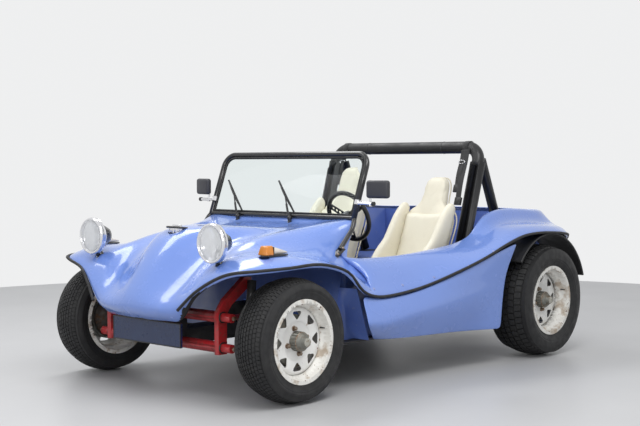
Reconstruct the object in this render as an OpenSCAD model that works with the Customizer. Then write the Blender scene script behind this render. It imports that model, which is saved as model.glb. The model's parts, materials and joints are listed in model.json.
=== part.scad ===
// Open two-seat beach buggy: plastic body on a shortened floor pan, with turning wheels and steering.
// Front of the car towards -Y, left-hand side towards +X, ground at z = 0.

/* [Overall] */
// Distance from the front axle to the rear axle
wheelbase = 2070; // [1900:10:2500]
// Distance from the front axle to the tip of the nose
nose_overhang = 435; // [390:5:500]
// Distance from the rear axle to the ends of the tail pipes
tail_overhang = 680; // [650:5:800]
// Distance between the centre planes of the front tyres
front_track = 1440; // [1380:5:1600]
// How much wider the rear track is than the front track
track_step = 134; // [90:2:160]
// How far the front wings reach past the centre planes of the front tyres
fender_reach = 80; // [60:5:100]

/* [Wheels] */
// Radius of the front tyres
front_tyre_r = 306; // [290:1:320]
// Width of the front tyres
front_tyre_w = 210; // [180:5:220]
// Radius of the rear tyres
rear_tyre_r = 336; // [320:1:345]
// Width of the rear tyres
rear_tyre_w = 275; // [240:5:290]
// Radius of the rim at the bead seat
rim_r = 190; // [180:1:200]
// Height of the rim flange above the bead seat
flange_h = 17; // [12:1:20]
// Thickness of the rim and disc steel
rim_t = 4; // [3:0.5:6]
// Depth of the front wheel disc behind the flange
front_recess = 55; // [40:1:70]
// Depth of the rear wheel disc behind the flange
rear_recess = 88; // [60:1:100]
// Pitch circle of the four wheel bolt holes
bolt_pcd = 130; // [126:0.5:136]
// Radius of each wheel bolt hole
bolt_hole_r = 8; // [6:0.5:9]
// How far the hubs reach out from the wheel discs
hub_reach = 76; // [64:2:80]
// Radius of the wheel spindles
spindle_r = 15; // [12:1:20]
// Radial clearance of the wheel bearings, kingpins and column bearing
run_gap = 0.3; // [0.2:0.1:0.5]

/* [Body] */
// Thickness of the moulded plastic skin
skin_t = 6; // [4:0.5:8]
// Height of the underside of the floor pan above the ground
floor_z = 232; // [210:2:260]
// Thickness of the floor pan
floor_t = 10; // [6:1:16]
// Half width inside the cockpit
cockpit_half_w = 622; // [600:2:626]
// Thickness of the inner tub panels
tub_t = 6; // [4:0.5:10]
// Width of the centre tunnel
tunnel_w = 150; // [120:5:170]
// Height of the centre tunnel above the floor
tunnel_h = 170; // [140:5:200]

/* [Windscreen] */
// Half width of the windscreen frame between tube centres
screen_half_w = 563; // [540:1:580]
// Height of the windscreen frame between tube centres, along the slope
screen_h = 366; // [330:2:420]
// Backward lean of the windscreen
screen_rake = 20.5; // [15:0.5:30]
// Diameter of the windscreen frame tube
screen_d = 30; // [24:1:34]
// Corner radius of the frame at the tube centre
screen_corner_r = 75; // [60:1:100]
// Thickness of the glass
glass_t = 6; // [4:0.5:8]

/* [Roll bar] */
// Half width between the centres of the roll bar legs
bar_half_w = 571; // [540:1:576]
// Diameter of the padded roll bar tubes
bar_d = 74; // [60:1:80]
// Diameter of the second, bare tube beside each leg
bar_stay_d = 50; // [38:1:52]
// Height of the top of the roll bar
bar_top = 1294; // [1200:2:1340]

/* [Seats] */
// Distance from the centre line to the middle of each seat
seat_x = 350; // [330:2:360]
// Width of each seat
seat_w = 400; // [360:5:420]
// Height of the top of the headrests
seat_top = 1125; // [1060:5:1180]

/* [Steering] */
// Outer diameter of the steering wheel
steer_d = 306; // [300:2:360]
// Diameter of the steering wheel rim
steer_rim_d = 26; // [20:1:32]
// Angle of the steering column above the horizontal
column_rake = 23; // [18:1:30]
// Distance of each kingpin inboard of the front tyre's centre plane
kingpin_offset = 130; // [126:1:136]

/* [Running gear] */
// Diameter of the two front beam tubes
beam_d = 56; // [48:1:60]
// Distance of the front beam ahead of the front axle
beam_ahead = 190; // [170:2:200]
// Height of the lower beam tube
beam_low_z = 262; // [250:2:280]
// Distance between the two beam tubes
beam_rise = 150; // [140:2:160]
// Half length of the beam tubes
beam_half_w = 442; // [430:1:450]
// Outer radius of the brake drums
drum_r = 128; // [110:1:140]

/* [Fittings] */
// Outer diameter of the headlamp rings
lamp_d = 196; // [180:2:210]
// Distance from the centre line to each headlamp
lamp_x = 474; // [460:2:490]
// Height of the headlamp centres
lamp_z = 780; // [770:2:800]
// Width of the number plate holder
plate_w = 536; // [480:4:560]
// Height of the number plate holder
plate_h = 122; // [100:2:140]

/* [Hidden] */
$fn = 48;

// Gap between pieces that face each other without touching
seat_gap = 0.3;
// Size that the body outlines below are drawn at, before they follow the tracks and the wheelbase
drawn_half_w = 800;
drawn_base = 2070;
// The body is drawn from a datum this far ahead of the front axle
axle_set = 50;
nose_tip = nose_overhang - axle_set;
rear_y = axle_set + wheelbase;
fender_half_w = front_track / 2 + fender_reach;
rear_track = front_track + track_step;
length = nose_overhang + wheelbase + tail_overhang;
// The body datum in the part's own frame, whose origin is under the middle of the car
datum_y = nose_tip - length / 2;

function wide(x) = x * fender_half_w / drawn_half_w;
function along(y) = y + (wheelbase - drawn_base) * max(0, min(1, (y - 600) / 1100));
function nose(y) = y < -100 ? -100 + (y + 100) * (nose_tip - 100) / 285 : y;
function lay(p) = [wide(p.x), along(nose(p.y)), p.z];

// ---- shared shapes ----

module rod(a, b, d) {
    v = b - a;
    l = norm(v);
    translate(a)
        rotate([0, acos(v.z / l), atan2(v.y, v.x)])
            cylinder(h = l, d = d);
}

// A bent tube: straight rods with a ball at each inner bend
module pipe(pts, d) {
    for (i = [0 : len(pts) - 2])
        rod(pts[i], pts[i + 1], d);
    if (len(pts) > 2)
        for (i = [1 : len(pts) - 2])
            translate(pts[i]) sphere(d = d);
}

module both_sides() {
    children();
    mirror([1, 0, 0]) children();
}

function arc(cx, cy, r, a0, a1, n = 5) =
    [for (i = [0 : n]) let (a = a0 + (a1 - a0) * i / n) [cx + r * cos(a), cy + r * sin(a)]];

function rounded(x0, y0, x1, y1, r) = concat(
    arc(x1 - r, y1 - r, r, 0, 90), arc(x0 + r, y1 - r, r, 90, 180),
    arc(x0 + r, y0 + r, r, 180, 270), arc(x1 - r, y0 + r, r, 270, 360));

// A plate that lies in the YZ plane, from x0 to x1
module side_plate(x0, x1, outline) {
    translate([x0, 0, 0])
        rotate([90, 0, 90])
            linear_extrude(x1 - x0) polygon(outline);
}

// ---- skins: a net of points, smoothed and thickened ----

function cr(a, b, c, d, t) =
    0.5 * (2 * b + (c - a) * t + (2 * a - 5 * b + 4 * c - d) * t * t
        + (3 * b - a - 3 * c + d) * t * t * t);

// One smooth row through the points p, n steps to a span
function smooth_row(p, n) = let (m = len(p) - 1) [
    for (i = [0 : m - 1], k = [0 : n - 1])
        cr(i == 0 ? 2 * p[0] - p[1] : p[i - 1], p[i], p[i + 1],
            i == m - 1 ? 2 * p[m] - p[m - 1] : p[i + 2], k / n),
    p[m]
];

function column(g, j) = [for (r = g) r[j]];
function turned(g) = [for (j = [0 : len(g[0]) - 1]) column(g, j)];
function smooth_along(g, n) = turned([for (c = turned(g)) smooth_row(c, n)]);

function unit(v) = norm(v) < 1e-9 ? [0, 0, 1] : v / norm(v);
function tangent(g, i, j, di, dj, wrap) =
    let (ni = len(g), nj = len(g[0]),
        i0 = wrap ? (i - di + ni) % ni : max(0, i - di),
        i1 = wrap ? (i + di) % ni : min(ni - 1, i + di),
        j0 = max(0, j - dj), j1 = min(nj - 1, j + dj))
    g[i1][j1] - g[i0][j0];

// The same net moved t along its normals
function shifted(g, t, wrap) = [for (i = [0 : len(g) - 1]) [
    for (j = [0 : len(g[0]) - 1])
        g[i][j] - t * unit(cross(tangent(g, i, j, 1, 0, wrap), tangent(g, i, j, 0, 1, wrap)))
]];

// A closed solid between the net and its shifted copy. A wrapped net is a ring.
module skin(g, t, wrap = false) {
    ni = len(g);
    nj = len(g[0]);
    n = ni * nj;
    last = wrap ? ni - 1 : ni - 2;
    pts = concat([for (r = g) each r], [for (r = shifted(g, t, wrap)) each r]);
    faces = concat(
        [for (i = [0 : last], j = [0 : nj - 2])
            let (a = i * nj + j, b = ((i + 1) % ni) * nj + j) each [[a, a + 1, b + 1], [a, b + 1, b]]],
        [for (i = [0 : last], j = [0 : nj - 2])
            let (a = n + i * nj + j, b = n + ((i + 1) % ni) * nj + j)
                each [[a, b + 1, a + 1], [a, b, b + 1]]],
        [for (i = [0 : last]) let (a = i * nj, b = ((i + 1) % ni) * nj)
            each [[a, b, n + b], [a, n + b, n + a]]],
        [for (i = [0 : last]) let (a = i * nj + nj - 1, b = ((i + 1) % ni) * nj + nj - 1)
            each [[a, n + b, b], [a, n + a, n + b]]],
        wrap ? [] : [for (j = [0 : nj - 2]) each [[j, n + j + 1, j + 1], [j, n + j, n + j + 1]]],
        wrap ? [] : [for (j = [0 : nj - 2]) let (a = (ni - 1) * nj + j)
            each [[a, n + a + 1, n + a], [a, a + 1, n + a + 1]]]);
    polyhedron(pts, faces, convexity = 10);
}

// ---- body ----

// Front half-net of the body, from the screen base (first) to the wing edge and its lip (last two).
hood_net = [
    [[0, 706, 856], [0, 650, 824], [0, 470, 814], [0, 250, 830], [0, 40, 836], [0, -130, 784],
        [0, -270, 628], [0, -385, 440], [0, -290, 384]],
    [[235, 706, 856], [228, 650, 824], [210, 480, 812], [185, 270, 826], [150, 60, 826],
        [110, -110, 785], [70, -262, 628], [60, -384, 440], [60, -290, 384]],
    [[300, 706, 856], [292, 650, 826], [275, 500, 804], [255, 290, 790], [235, 80, 764],
        [205, -90, 700], [165, -245, 575], [140, -378, 443], [130, -288, 385]],
    [[380, 706, 857], [368, 650, 836], [345, 510, 812], [325, 310, 786], [310, 110, 756],
        [300, -70, 698], [290, -235, 552], [235, -364, 448], [220, -282, 388]],
    [[455, 706, 858], [446, 650, 848], [420, 530, 830], [402, 340, 808], [398, 150, 782],
        [395, -20, 736], [375, -210, 636], [335, -338, 456], [300, -270, 398]],
    [[520, 704, 858], [512, 640, 848], [488, 510, 812], [476, 330, 774], [472, 150, 744],
        [468, -30, 722], [452, -190, 676], [425, -308, 545], [400, -278, 520]],
    [[556, 704, 856], [548, 650, 836], [540, 520, 756], [556, 330, 716], [562, 150, 712],
        [562, -20, 716], [552, -160, 702], [530, -272, 612], [514, -258, 590]],
    [[574, 708, 846], [566, 672, 812], [574, 560, 706], [612, 380, 682], [630, 200, 698],
        [640, 20, 713], [645, -120, 705], [645, -264, 648], [636, -250, 632]],
    [[582, 690, 824], [578, 656, 784], [590, 576, 690], [640, 450, 646], [676, 290, 678],
        [694, 120, 702], [712, -20, 706], [740, -200, 660], [732, -190, 644]],
    [[588, 662, 796], [587, 634, 754], [602, 590, 668], [656, 492, 616], [706, 380, 640],
        [736, 250, 678], [760, 120, 694], [799, -30, 668], [788, -26, 654]],
    [[593, 622, 764], [594, 596, 724], [611, 590, 650], [668, 534, 592], [722, 470, 594],
        [758, 380, 628], [784, 290, 656], [803, 180, 672], [790, 180, 658]],
    [[598, 574, 728], [602, 562, 695], [624, 590, 640], [680, 584, 582], [730, 560, 558],
        [768, 500, 570], [792, 440, 596], [801, 380, 622], [788, 378, 610]],
    [[604, 548, 700], [611, 552, 676], [636, 608, 628], [688, 648, 575], [734, 640, 534],
        [768, 600, 512], [790, 560, 506], [801, 500, 516], [788, 494, 508]]
];

// Inner and outer ends of the body's cross lines from the sill to the middle of the tail
sill_ends = [
    [[613, 590, 664], [802, 620, 477]], [[629, 820, 653], [802, 800, 479]],
    [[634, 1080, 659], [808, 1020, 505]], [[638, 1300, 675], [836, 1260, 562]],
    [[640, 1500, 696], [858, 1490, 626]], [[640, 1650, 742], [876, 1680, 694]],
    [[639, 1750, 832], [890, 1840, 738]], [[638, 1900, 878], [898, 2010, 749]],
    [[634, 2120, 878], [900, 2180, 742]], [[634, 2310, 864], [888, 2288, 732]],
    [[614, 2426, 858], [846, 2396, 716]], [[548, 2458, 859], [722, 2528, 672]],
    [[330, 2456, 864], [420, 2600, 640]], [[0, 2460, 865], [0, 2610, 636]]
];
// Shape of those lines: share of the way out, and share of the way down
sill_line = [[0, 0], [0.10, 0.01], [0.26, 0.09], [0.44, 0.26], [0.62, 0.48], [0.80, 0.73], [1, 1]];
wing_line = [[0, 0], [0.08, 0.06], [0.15, 0.38], [0.27, 0.60], [0.52, 0.66], [0.80, 0.74], [1, 1]];
tail_line = [[0, 0], [0.10, 0.02], [0.28, 0.14], [0.48, 0.32], [0.68, 0.54], [0.86, 0.78], [1, 1]];
// How much each cross line follows the wing shape (first) and the tail shape (second)
sill_mix = [[0, 0], [0, 0], [0, 0], [0, 0], [0.1, 0], [0.45, 0], [0.9, 0], [1, 0], [1, 0], [1, 0],
    [0.7, 0.3], [0, 1], [0, 1], [0, 1]];
lip_drop = 14;

function sill_span(i) = let (a = sill_ends[i][0], b = sill_ends[i][1], w = sill_mix[i]) concat([
    for (k = [0 : 6]) let (
        s = sill_line[k] * (1 - w[0] - w[1]) + wing_line[k] * w[0] + tail_line[k] * w[1])
        [a.x + (b.x - a.x) * s[0], a.y + (b.y - a.y) * s[0], a.z + (b.z - a.z) * s[1]]
], [b - [i < 10 ? lip_drop : 4, i < 10 ? 0 : lip_drop, i < 10 ? 4 : lip_drop]]);

// Every cross line holds eight points: the front ones give up one between the screen and the nose
function front_span(r) = [r[0], r[1], r[2], r[3], r[4], r[5], r[6], r[7], r[8]];
function sill_span9(i) = let (s = sill_span(i))
    [s[0], s[1], s[2], s[3], (s[3] + s[4]) / 2, s[4], s[5], s[6], s[7]];

body_half = [
    for (r = hood_net) [for (p = front_span(r)) lay(p)],
    for (i = [0 : len(sill_ends) - 1]) [for (p = sill_span9(i)) lay(p)]
];
body_smooth = [for (r = smooth_along(body_half, 2)) concat(smooth_row([for (j = [0 : 7]) r[j]], 2), [r[8]])];
function flip(r) = [for (p = r) [-p.x, p.y, p.z]];
body_net = concat(body_smooth,
    [for (i = [len(body_smooth) - 2 : -1 : 1]) flip(body_smooth[i])]);

module body_shell() {
    color([0.46, 0.56, 0.86])
        difference() {
            skin(body_net, skin_t, true);
            body_holes();
        }
}

// Side pod under the bead line: half-net along Y, each row from the bead down to the floor edge
pod_net = [
    [[784, 520, 492], [800, 505, 455], [824, 500, 400], [836, 500, 352], [800, 560, 300], [745, 640, 250]],
    [[796, 640, 470], [812, 635, 440], [830, 630, 390], [838, 620, 338], [812, 660, 290], [762, 700, 246]],
    [[798, 800, 472], [812, 800, 446], [830, 800, 402], [840, 800, 358], [820, 800, 300], [790, 800, 243]],
    [[804, 1000, 494], [816, 1000, 466], [832, 1000, 424], [842, 1000, 380], [824, 1000, 308], [798, 1000, 236]],
    [[830, 1250, 551], [836, 1250, 510], [842, 1250, 456], [846, 1250, 402], [830, 1250, 316], [802, 1250, 228]],
    [[852, 1480, 615], [852, 1480, 562], [850, 1480, 492], [850, 1470, 418], [836, 1460, 320], [814, 1450, 219]],
    [[866, 1620, 661], [862, 1615, 596], [856, 1605, 516], [852, 1595, 430], [846, 1585, 322], [836, 1570, 214]],
    [[880, 1790, 706], [872, 1752, 636], [862, 1706, 540], [856, 1684, 440], [852, 1672, 326], [848, 1664, 211]]
];
pod_half = [for (r = pod_net) [for (j = [len(r) - 1 : -1 : 0]) lay(r[j])]];
pod_smooth = [for (r = smooth_along(pod_half, 2)) smooth_row(r, 2)];

pod_drop = 6;
module side_pod() {
    color([0.43, 0.53, 0.84])
        translate([0, 0, -pod_drop]) skin(pod_smooth, skin_t);
}
module side_pod_left() { side_pod(); }
module side_pod_right() { mirror([1, 0, 0]) side_pod(); }

// ---- tub and floor ----

toe_y = 520;
tub_front = 560;
well_z = 560;
well_back = along(2395);
bulk_y = along(1700);
tub_top = floor_z + floor_t + seat_gap;
toe_top = 740;

module tub_side() {
    side_plate(cockpit_half_w, cockpit_half_w + tub_t, [
        [tub_front, tub_top], [tub_front, 600], [700, 634], [along(900), 636], [along(1100), 640],
        [along(1300), 656], [along(1520), 680], [along(1640), 712], [along(1720), 790], [along(1800), 846],
        [along(1920), 860], [along(2200), 858], [well_back, 846], [well_back, well_z],
        [bulk_y + tub_t, well_z], [bulk_y + tub_t, tub_top]]);
}

module inner_tub() {
    w = cockpit_half_w;
    color([0.36, 0.45, 0.78]) {
        difference() {
            union() {
                both_sides() tub_side();
                // toe board, in front of the feet
                side_plate(-w, w, [[toe_y - 60, tub_top], [toe_y - 60 + tub_t, tub_top],
                    [toe_y + 20 + tub_t, 641.6], [toe_y + 20, 641.6]]);
                side_plate(80 - w, w - 80, [[toe_y + 19, 632], [toe_y + 19 + tub_t, 632],
                    [toe_y + 30 + tub_t, toe_top], [toe_y + 30, toe_top]]);
                // flanges that join it to the side walls
                both_sides()
                    side_plate(w - tub_t, w, [[toe_y - 50, tub_top], [tub_front + 10, tub_top],
                        [tub_front + 10, 590], [toe_y + 12, 590]]);
                // bulkhead behind the seats and the shelf over the gearbox
                translate([-w, bulk_y, tub_top]) cube([2 * w, tub_t, well_z - tub_top]);
                translate([-w, bulk_y, well_z]) cube([2 * w, well_back - bulk_y, tub_t]);
                // back wall of the luggage well
                translate([-w, well_back - tub_t, well_z]) cube([2 * w, tub_t, 286]);
                // front wheel splash panels
                both_sides()
                    side_plate(w, wide(742), [[516, 520], [516 + tub_t, 520],
                        [606 + tub_t, tub_top + 4], [606, tub_top + 4]]);
            }
            rod(on_column(300), on_column(600), column_d + 2 * seat_gap);
            // the floor tunnel passes under the toe board and the bulkhead
            translate([-tunnel_w / 2 - seat_gap, toe_y - 80, tub_top - 10])
                cube([tunnel_w + 2 * seat_gap, bulk_y + 100 - toe_y, tunnel_h + 10 + seat_gap]);
        }
    }
}

tunnel_round = 60;
module floor_pan() {
    head_y = beam_y + beam_d / 2 + seat_gap;
    color([0.10, 0.10, 0.11]) {
        // wide behind the front wheels, narrow between them
        translate([-cockpit_half_w - 60, toe_y - 66, floor_z])
            cube([2 * cockpit_half_w + 120, bulk_y + tub_t + 66 - toe_y, floor_t]);
        translate([-360, 350, floor_z]) cube([720, toe_y - 410, floor_t]);
        // frame head that carries the front beam
        translate([-tunnel_w / 2, head_y, floor_z]) cube([tunnel_w, 360 - head_y, 80]);
        translate([-tunnel_w / 2, head_y, floor_z + 79]) cube([tunnel_w, 60, beam_rise - 20]);
        translate([0, 350, floor_z + floor_t])
            rotate([90, 0, 180])
                linear_extrude(bulk_y + tub_t - 350)
                    polygon(concat([[-tunnel_w / 2, 0], [tunnel_w / 2, 0]],
                        arc(tunnel_w / 2 - tunnel_round, tunnel_h - tunnel_round, tunnel_round, 0, 90),
                        arc(-tunnel_w / 2 + tunnel_round, tunnel_h - tunnel_round, tunnel_round, 90, 180)));
    }
}

// ---- cockpit ----

dash_y = 640;
dash_w = cockpit_half_w - 72;
column_d = 42;
steer_centre = [seat_x, along(900), 868];
column_dir = [0, -cos(column_rake), -sin(column_rake)];
function on_column(s) = steer_centre + s * column_dir;

module dashboard() {
    color([0.12, 0.12, 0.13]) {
        difference() {
            translate([-dash_w, dash_y, 718]) cube([2 * dash_w, 14, 84]);
            rod(on_column(40), on_column(400), column_d + 2 * seat_gap);
        }
        // brackets back from the toe board's top edge
        both_sides()
            translate([150, toe_y + 30 + tub_t + seat_gap, 722])
                cube([40, dash_y + 1 - toe_y - 30 - tub_t - seat_gap, 12]);
    }
}

shaft_r = 11;
module steering_column() {
    color([0.14, 0.14, 0.15])
        difference() {
            rod(on_column(48), on_column(470), column_d);
            rod(on_column(40), on_column(130), 2 * (shaft_r + run_gap));
        }
}

module steering_wheel() {
    grip_r = (steer_d - steer_rim_d) / 2;
    translate(steer_centre)
        rotate([column_rake - 90, 0, 0]) {
            color([0.05, 0.05, 0.055])
                rotate_extrude($fn = 96)
                    translate([grip_r, 0]) circle(d = steer_rim_d, $fn = 32);
            color([0.6, 0.6, 0.62]) {
                translate([0, 0, -42]) cylinder(h = 38, r = 34);
                translate([0, 0, -120]) cylinder(h = 90, r = shaft_r);
                for (a = [90, 210, 330])
                    rotate([0, 0, a])
                        difference() {
                            translate([20, -17, -10]) cube([grip_r - 22, 34, 4]);
                            for (k = [0 : 2])
                                translate([58 + 27 * k, 0, -20]) cylinder(h = 30, r = 9 - k);
                        }
            }
            color([0.08, 0.08, 0.08])
                translate([0, 0, -12]) cylinder(h = 22, r = 30);
        }
}

module pedals() {
    color([0.15, 0.15, 0.16])
        for (dx = [-110, 0, 105]) {
            translate([seat_x + dx, toe_y + 60, tub_top + 6]) rotate([-16, 0, 0]) cylinder(h = 150, r = 6);
            translate([seat_x + dx - 14, toe_y + 48, tub_top]) cube([28, 24, 12]);
            translate([seat_x + dx - 26, toe_y + 92, tub_top + 130])
                rotate([-24, 0, 0]) cube([52, 12, 60]);
        }
}

lever_y = along(1080);
module gear_lever() {
    z = floor_z + floor_t + tunnel_h + seat_gap;
    color([0.1, 0.1, 0.1]) {
        translate([0, lever_y, z]) cylinder(h = 34, r1 = 36, r2 = 16);
        translate([0, lever_y, z + 10]) rotate([-12, 0, 0]) cylinder(h = 250, r = 6);
        translate([0, lever_y + 54, z + 262]) sphere(r = 24);
    }
}

// One seat: cushion, back with side bolsters and headrest, leaning back
seat_lean = 22;
seat_fold = [along(1440), 450];
seat_back_t = 85;

module seat(x) {
    back_l = (seat_top - seat_fold[1]) / cos(seat_lean);
    half = seat_w / 2;
    color([0.92, 0.89, 0.80])
        translate([x, seat_fold[0], seat_fold[1]]) {
            translate([-half + 30, -400, tub_top + seat_gap - seat_fold[1]])
                cube([seat_w - 60, 400, seat_fold[1] - tub_top - seat_gap - 40]);
            translate([-half, 20, -60])
                rotate([90, 0, 0]) linear_extrude(470) polygon(rounded(0, 0, seat_w, 105, 36));
            // side bolsters sweep forward from the shoulders to the cushion
            for (x0 = [-half, half - 50])
                side_plate(x0, x0 + 50, [[-250, 30], [-160, 150], [-98, 218], [-21, 284], [26, 353],
                    [73, 412], [160, 440], [190, 400], [30, 0], [-230, 0]]);
            rotate([-seat_lean, 0, 0])
                translate([0, seat_back_t, 0])
                    rotate([90, 0, 0])
                        linear_extrude(seat_back_t)
                            polygon(concat([[-half, -40]], arc(-half + 60, back_l * 0.58, 60, 180, 120, 3),
                                [[-112, back_l * 0.73]], arc(-102 + 50, back_l - 50, 50, 180, 90, 4),
                                arc(102 - 50, back_l - 50, 50, 90, 0, 4), [[112, back_l * 0.73]],
                                arc(half - 60, back_l * 0.58, 60, 60, 0, 3), [[half, -40]]));
        }
}
module seat_left() { seat(seat_x); }
module seat_right() { seat(-seat_x); }

// ---- windscreen ----

screen_y = along(700);
screen_z = 872;
bar_low_d = 24;

module screen_plane() {
    translate([0, screen_y, screen_z])
        rotate([90 - screen_rake, 0, 0]) children();
}

module windscreen_frame() {
    w = screen_half_w;
    r = screen_corner_r;
    h = screen_h;
    color([0.05, 0.05, 0.055])
        screen_plane() {
            rod([-w + r, h, 0], [w - r, h, 0], screen_d);
            rod([-w, 0, 0], [w, 0, 0], bar_low_d);
            for (s = [-1, 1]) {
                rod([s * w, -10, 0], [s * w, h - r, 0], screen_d);
                translate([s * (w - r), h - r, 0])
                    rotate([0, 0, s > 0 ? 0 : 90])
                        rotate_extrude(angle = 90) translate([r, 0]) circle(d = screen_d);
            }
        }
}

module windscreen_glass() {
    w = screen_half_w - screen_d / 2 - seat_gap;
    top = screen_h - screen_d / 2 - bar_low_d / 2 - 2 * seat_gap;
    r = screen_corner_r - screen_d / 2;
    color([0.75, 0.83, 0.85, 0.4])
        screen_plane()
            translate([0, bar_low_d / 2 + seat_gap, -glass_t / 2])
                linear_extrude(glass_t)
                    polygon(concat([[-w, 0], [w, 0]], arc(w - r, top - r, r, 0, 90),
                        arc(-w + r, top - r, r, 90, 180)));
}

wiper_x = [-310, 110];
wiper_y = screen_y - 26;
module wipers() {
    color([0.04, 0.04, 0.045])
        for (x = wiper_x) {
            translate([x, wiper_y, 824]) cylinder(h = 36, r = 10);
            screen_plane() {
                rod([x, -24, 26], [x - 82, 108, 12], 7);
                rod([x - 172, 203, 8.5], [x + 8, 20, 8.5], 8);
            }
        }
}

mirror_y = along(725);
// Side of each mirror, and how far out its middle lies
mirror_places = [[0, 710], [1, 660]];
module mirrors() {
    foot = screen_half_w + screen_d / 2 + seat_gap;
    for (m = mirror_places)
        mirror([m.x, 0, 0]) {
            color([0.04, 0.04, 0.045])
                translate([m.y, mirror_y, 979])
                    rotate([0, 0, 12])
                        translate([0, 17, 0])
                            rotate([90, 0, 0])
                                linear_extrude(34)
                                    polygon(rounded(-68, 0, 68, 95, 18));
            color([0.7, 0.7, 0.72]) {
                translate([foot, mirror_y - 5, 950]) rotate([0, 90, 0]) cylinder(h = 100, r = 9);
                translate([m.y - 50, mirror_y - 5, 946]) cylinder(h = 50, r = 7);
            }
        }
}

// ---- roll bar ----

bar_y = along(1850);
bar_foot = [bar_half_w, along(1530), tub_top + seat_gap];

module roll_bar() {
    z = bar_top - bar_d / 2;
    r = 95;
    w = bar_half_w;
    leg = norm([0, bar_y - bar_foot.y, z - bar_foot.z]) - 8;
    gap = bar_stay_d + 1;
    color([0.05, 0.05, 0.055]) {
        translate([0, bar_y, z])
            rotate([atan2(z - bar_foot.z, bar_y - bar_foot.y), 0, 0]) {
                rod([-w + r, 0, 0], [w - r, 0, 0], bar_d);
                for (s = [-1, 1]) {
                    translate([s * (w - r), -r, 0])
                        rotate([0, 0, s > 0 ? 0 : 90])
                            rotate_extrude(angle = 90) translate([r, 0]) circle(d = bar_d);
                    // each leg is two tubes side by side
                    rod([s * (w + gap / 2), -r - 1, 0], [s * (w + gap / 2), -leg, 0], bar_stay_d);
                    rod([s * (w - gap / 2), -r - 1, 0], [s * (w - gap / 2), -leg, 0], bar_stay_d);
                    rod([s * w, -r, 0], [s * w, -r - 24, 0], bar_d);
                }
            }
        both_sides() {
            translate([w - 60, bar_foot.y - 60, tub_top + seat_gap]) cube([110, 120, 10]);
            rod([w, bar_y + 4, z - 75], [w, along(2115), well_z + 24], bar_d - 14);
            translate([w - 50, along(2070), well_z + tub_t + seat_gap]) cube([94, 100, 6]);
        }
    }
}

module seat_belts() {
    color([0.05, 0.05, 0.055])
        both_sides()
            translate([bar_half_w - 142, bar_y - bar_d / 2 - 4 - seat_gap, 930])
                cube([46, 4, bar_top - bar_d / 2 - 930]);
}

// ---- wheels ----

// Turns Z to point along +X, at a tyre's centre
module at_wheel(track, y, r) {
    translate([track / 2, y, r]) rotate([0, 90, 0]) children();
}

module rim(w, recess, r = rim_r) {
    t = rim_t;
    z = w - recess;
    color([0.9, 0.9, 0.88])
        difference() {
            rotate_extrude($fn = 96)
                polygon([[r + flange_h, w - t], [r + flange_h, w], [r - t, w], [r - t, w - 34],
                    [r - 22, w - 52], [r - 22, z - 8], [r - 26, z - 2], [r - 34, z + 7], [100, z + 7],
                    [91, z], [hub_r + 2, z], [hub_r + 2, z - t], [93, z - t], [102, z + 7 - t], [r - 36, z + 7 - t],
                    [r - 28, z - 2 - t], [r - 22, z - 8 - t], [r - 22, -w + 52], [r - t, -w + 34],
                    [r - t, -w], [r + flange_h, -w], [r + flange_h, -w + t], [r, -w + t],
                    [r, -w + 32], [r - 18, -w + 50], [r - 18, w - 50], [r, w - 32], [r, w - t]]);
            for (i = [0 : 7])
                rotate([0, 0, 45 * i])
                    translate([r - 64, 0, z - 30])
                        linear_extrude(70)
                            polygon(concat(arc(11, 20, 9, 0, 132), arc(-12, 0, 9, 132, 228),
                                arc(11, -20, 9, 228, 360)));
            for (i = [0 : 3])
                rotate([0, 0, 90 * i + 15])
                    translate([bolt_pcd / 2, 0, z - 30]) cylinder(h = 60, r = bolt_hole_r);
        }
}

module tyre(w, r, rim_w) {
    t = 14;
    foot = rim_r + seat_gap;
    bead = rim_w - rim_t - seat_gap;
    knee = foot + flange_h + 6;
    mid = (foot + r) / 2 + 4;
    side = [[foot, bead], [knee, bead], [foot + 48, w - 3], [mid, w], [r - 26, w - 6], [r - 6, w - 24],
        [r, w - 42]];
    inner = [[r - t, w - 46], [r - 32, w - 6 - t], [foot + 30, w - 3 - t], [foot, bead - 18]];
    color([0.07, 0.07, 0.075])
        rotate_extrude($fn = 120)
            polygon(concat(side, [for (i = [len(side) - 1 : -1 : 0]) [side[i].x, -side[i].y]],
                [for (i = [len(inner) - 1 : -1 : 0]) [inner[i].x, -inner[i].y]], inner));
}

// Brake drum with its hub, the spindle bore and the protruding hub cap
drum_deep = 62;
hub_r = 46;
module drum(z) {
    bore = spindle_r + run_gap;
    base = z - rim_t - drum_deep;
    color([0.25, 0.24, 0.23])
        difference() {
            union() {
                difference() {
                    translate([0, 0, base]) cylinder(h = drum_deep, r = drum_r, $fn = 72);
                    translate([0, 0, base - 1]) cylinder(h = drum_deep - 8, r = drum_r - 9, $fn = 72);
                }
                translate([0, 0, base + 8]) cylinder(h = z + hub_reach - 36 - base - 8, r = hub_r);
                translate([0, 0, z + hub_reach - 36]) cylinder(h = 18, r1 = hub_r, r2 = 34);
            }
            translate([0, 0, base - 1]) cylinder(h = drum_deep + 12, r = bore);
        }
    color([0.75, 0.75, 0.77])
        translate([0, 0, z + hub_reach - 20]) cylinder(h = 20, r1 = 30, r2 = 22);
}

front_rim_w = front_tyre_w / 2 - 12;
rear_rim_w = rear_tyre_w / 2 - 18;
front_disc_z = front_rim_w - front_recess;
rear_disc_z = rear_rim_w - rear_recess;

module front_wheel_at() { at_wheel(front_track, axle_set, front_tyre_r) children(); }
module rear_wheel_at() { at_wheel(rear_track, rear_y, rear_tyre_r) children(); }

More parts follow.
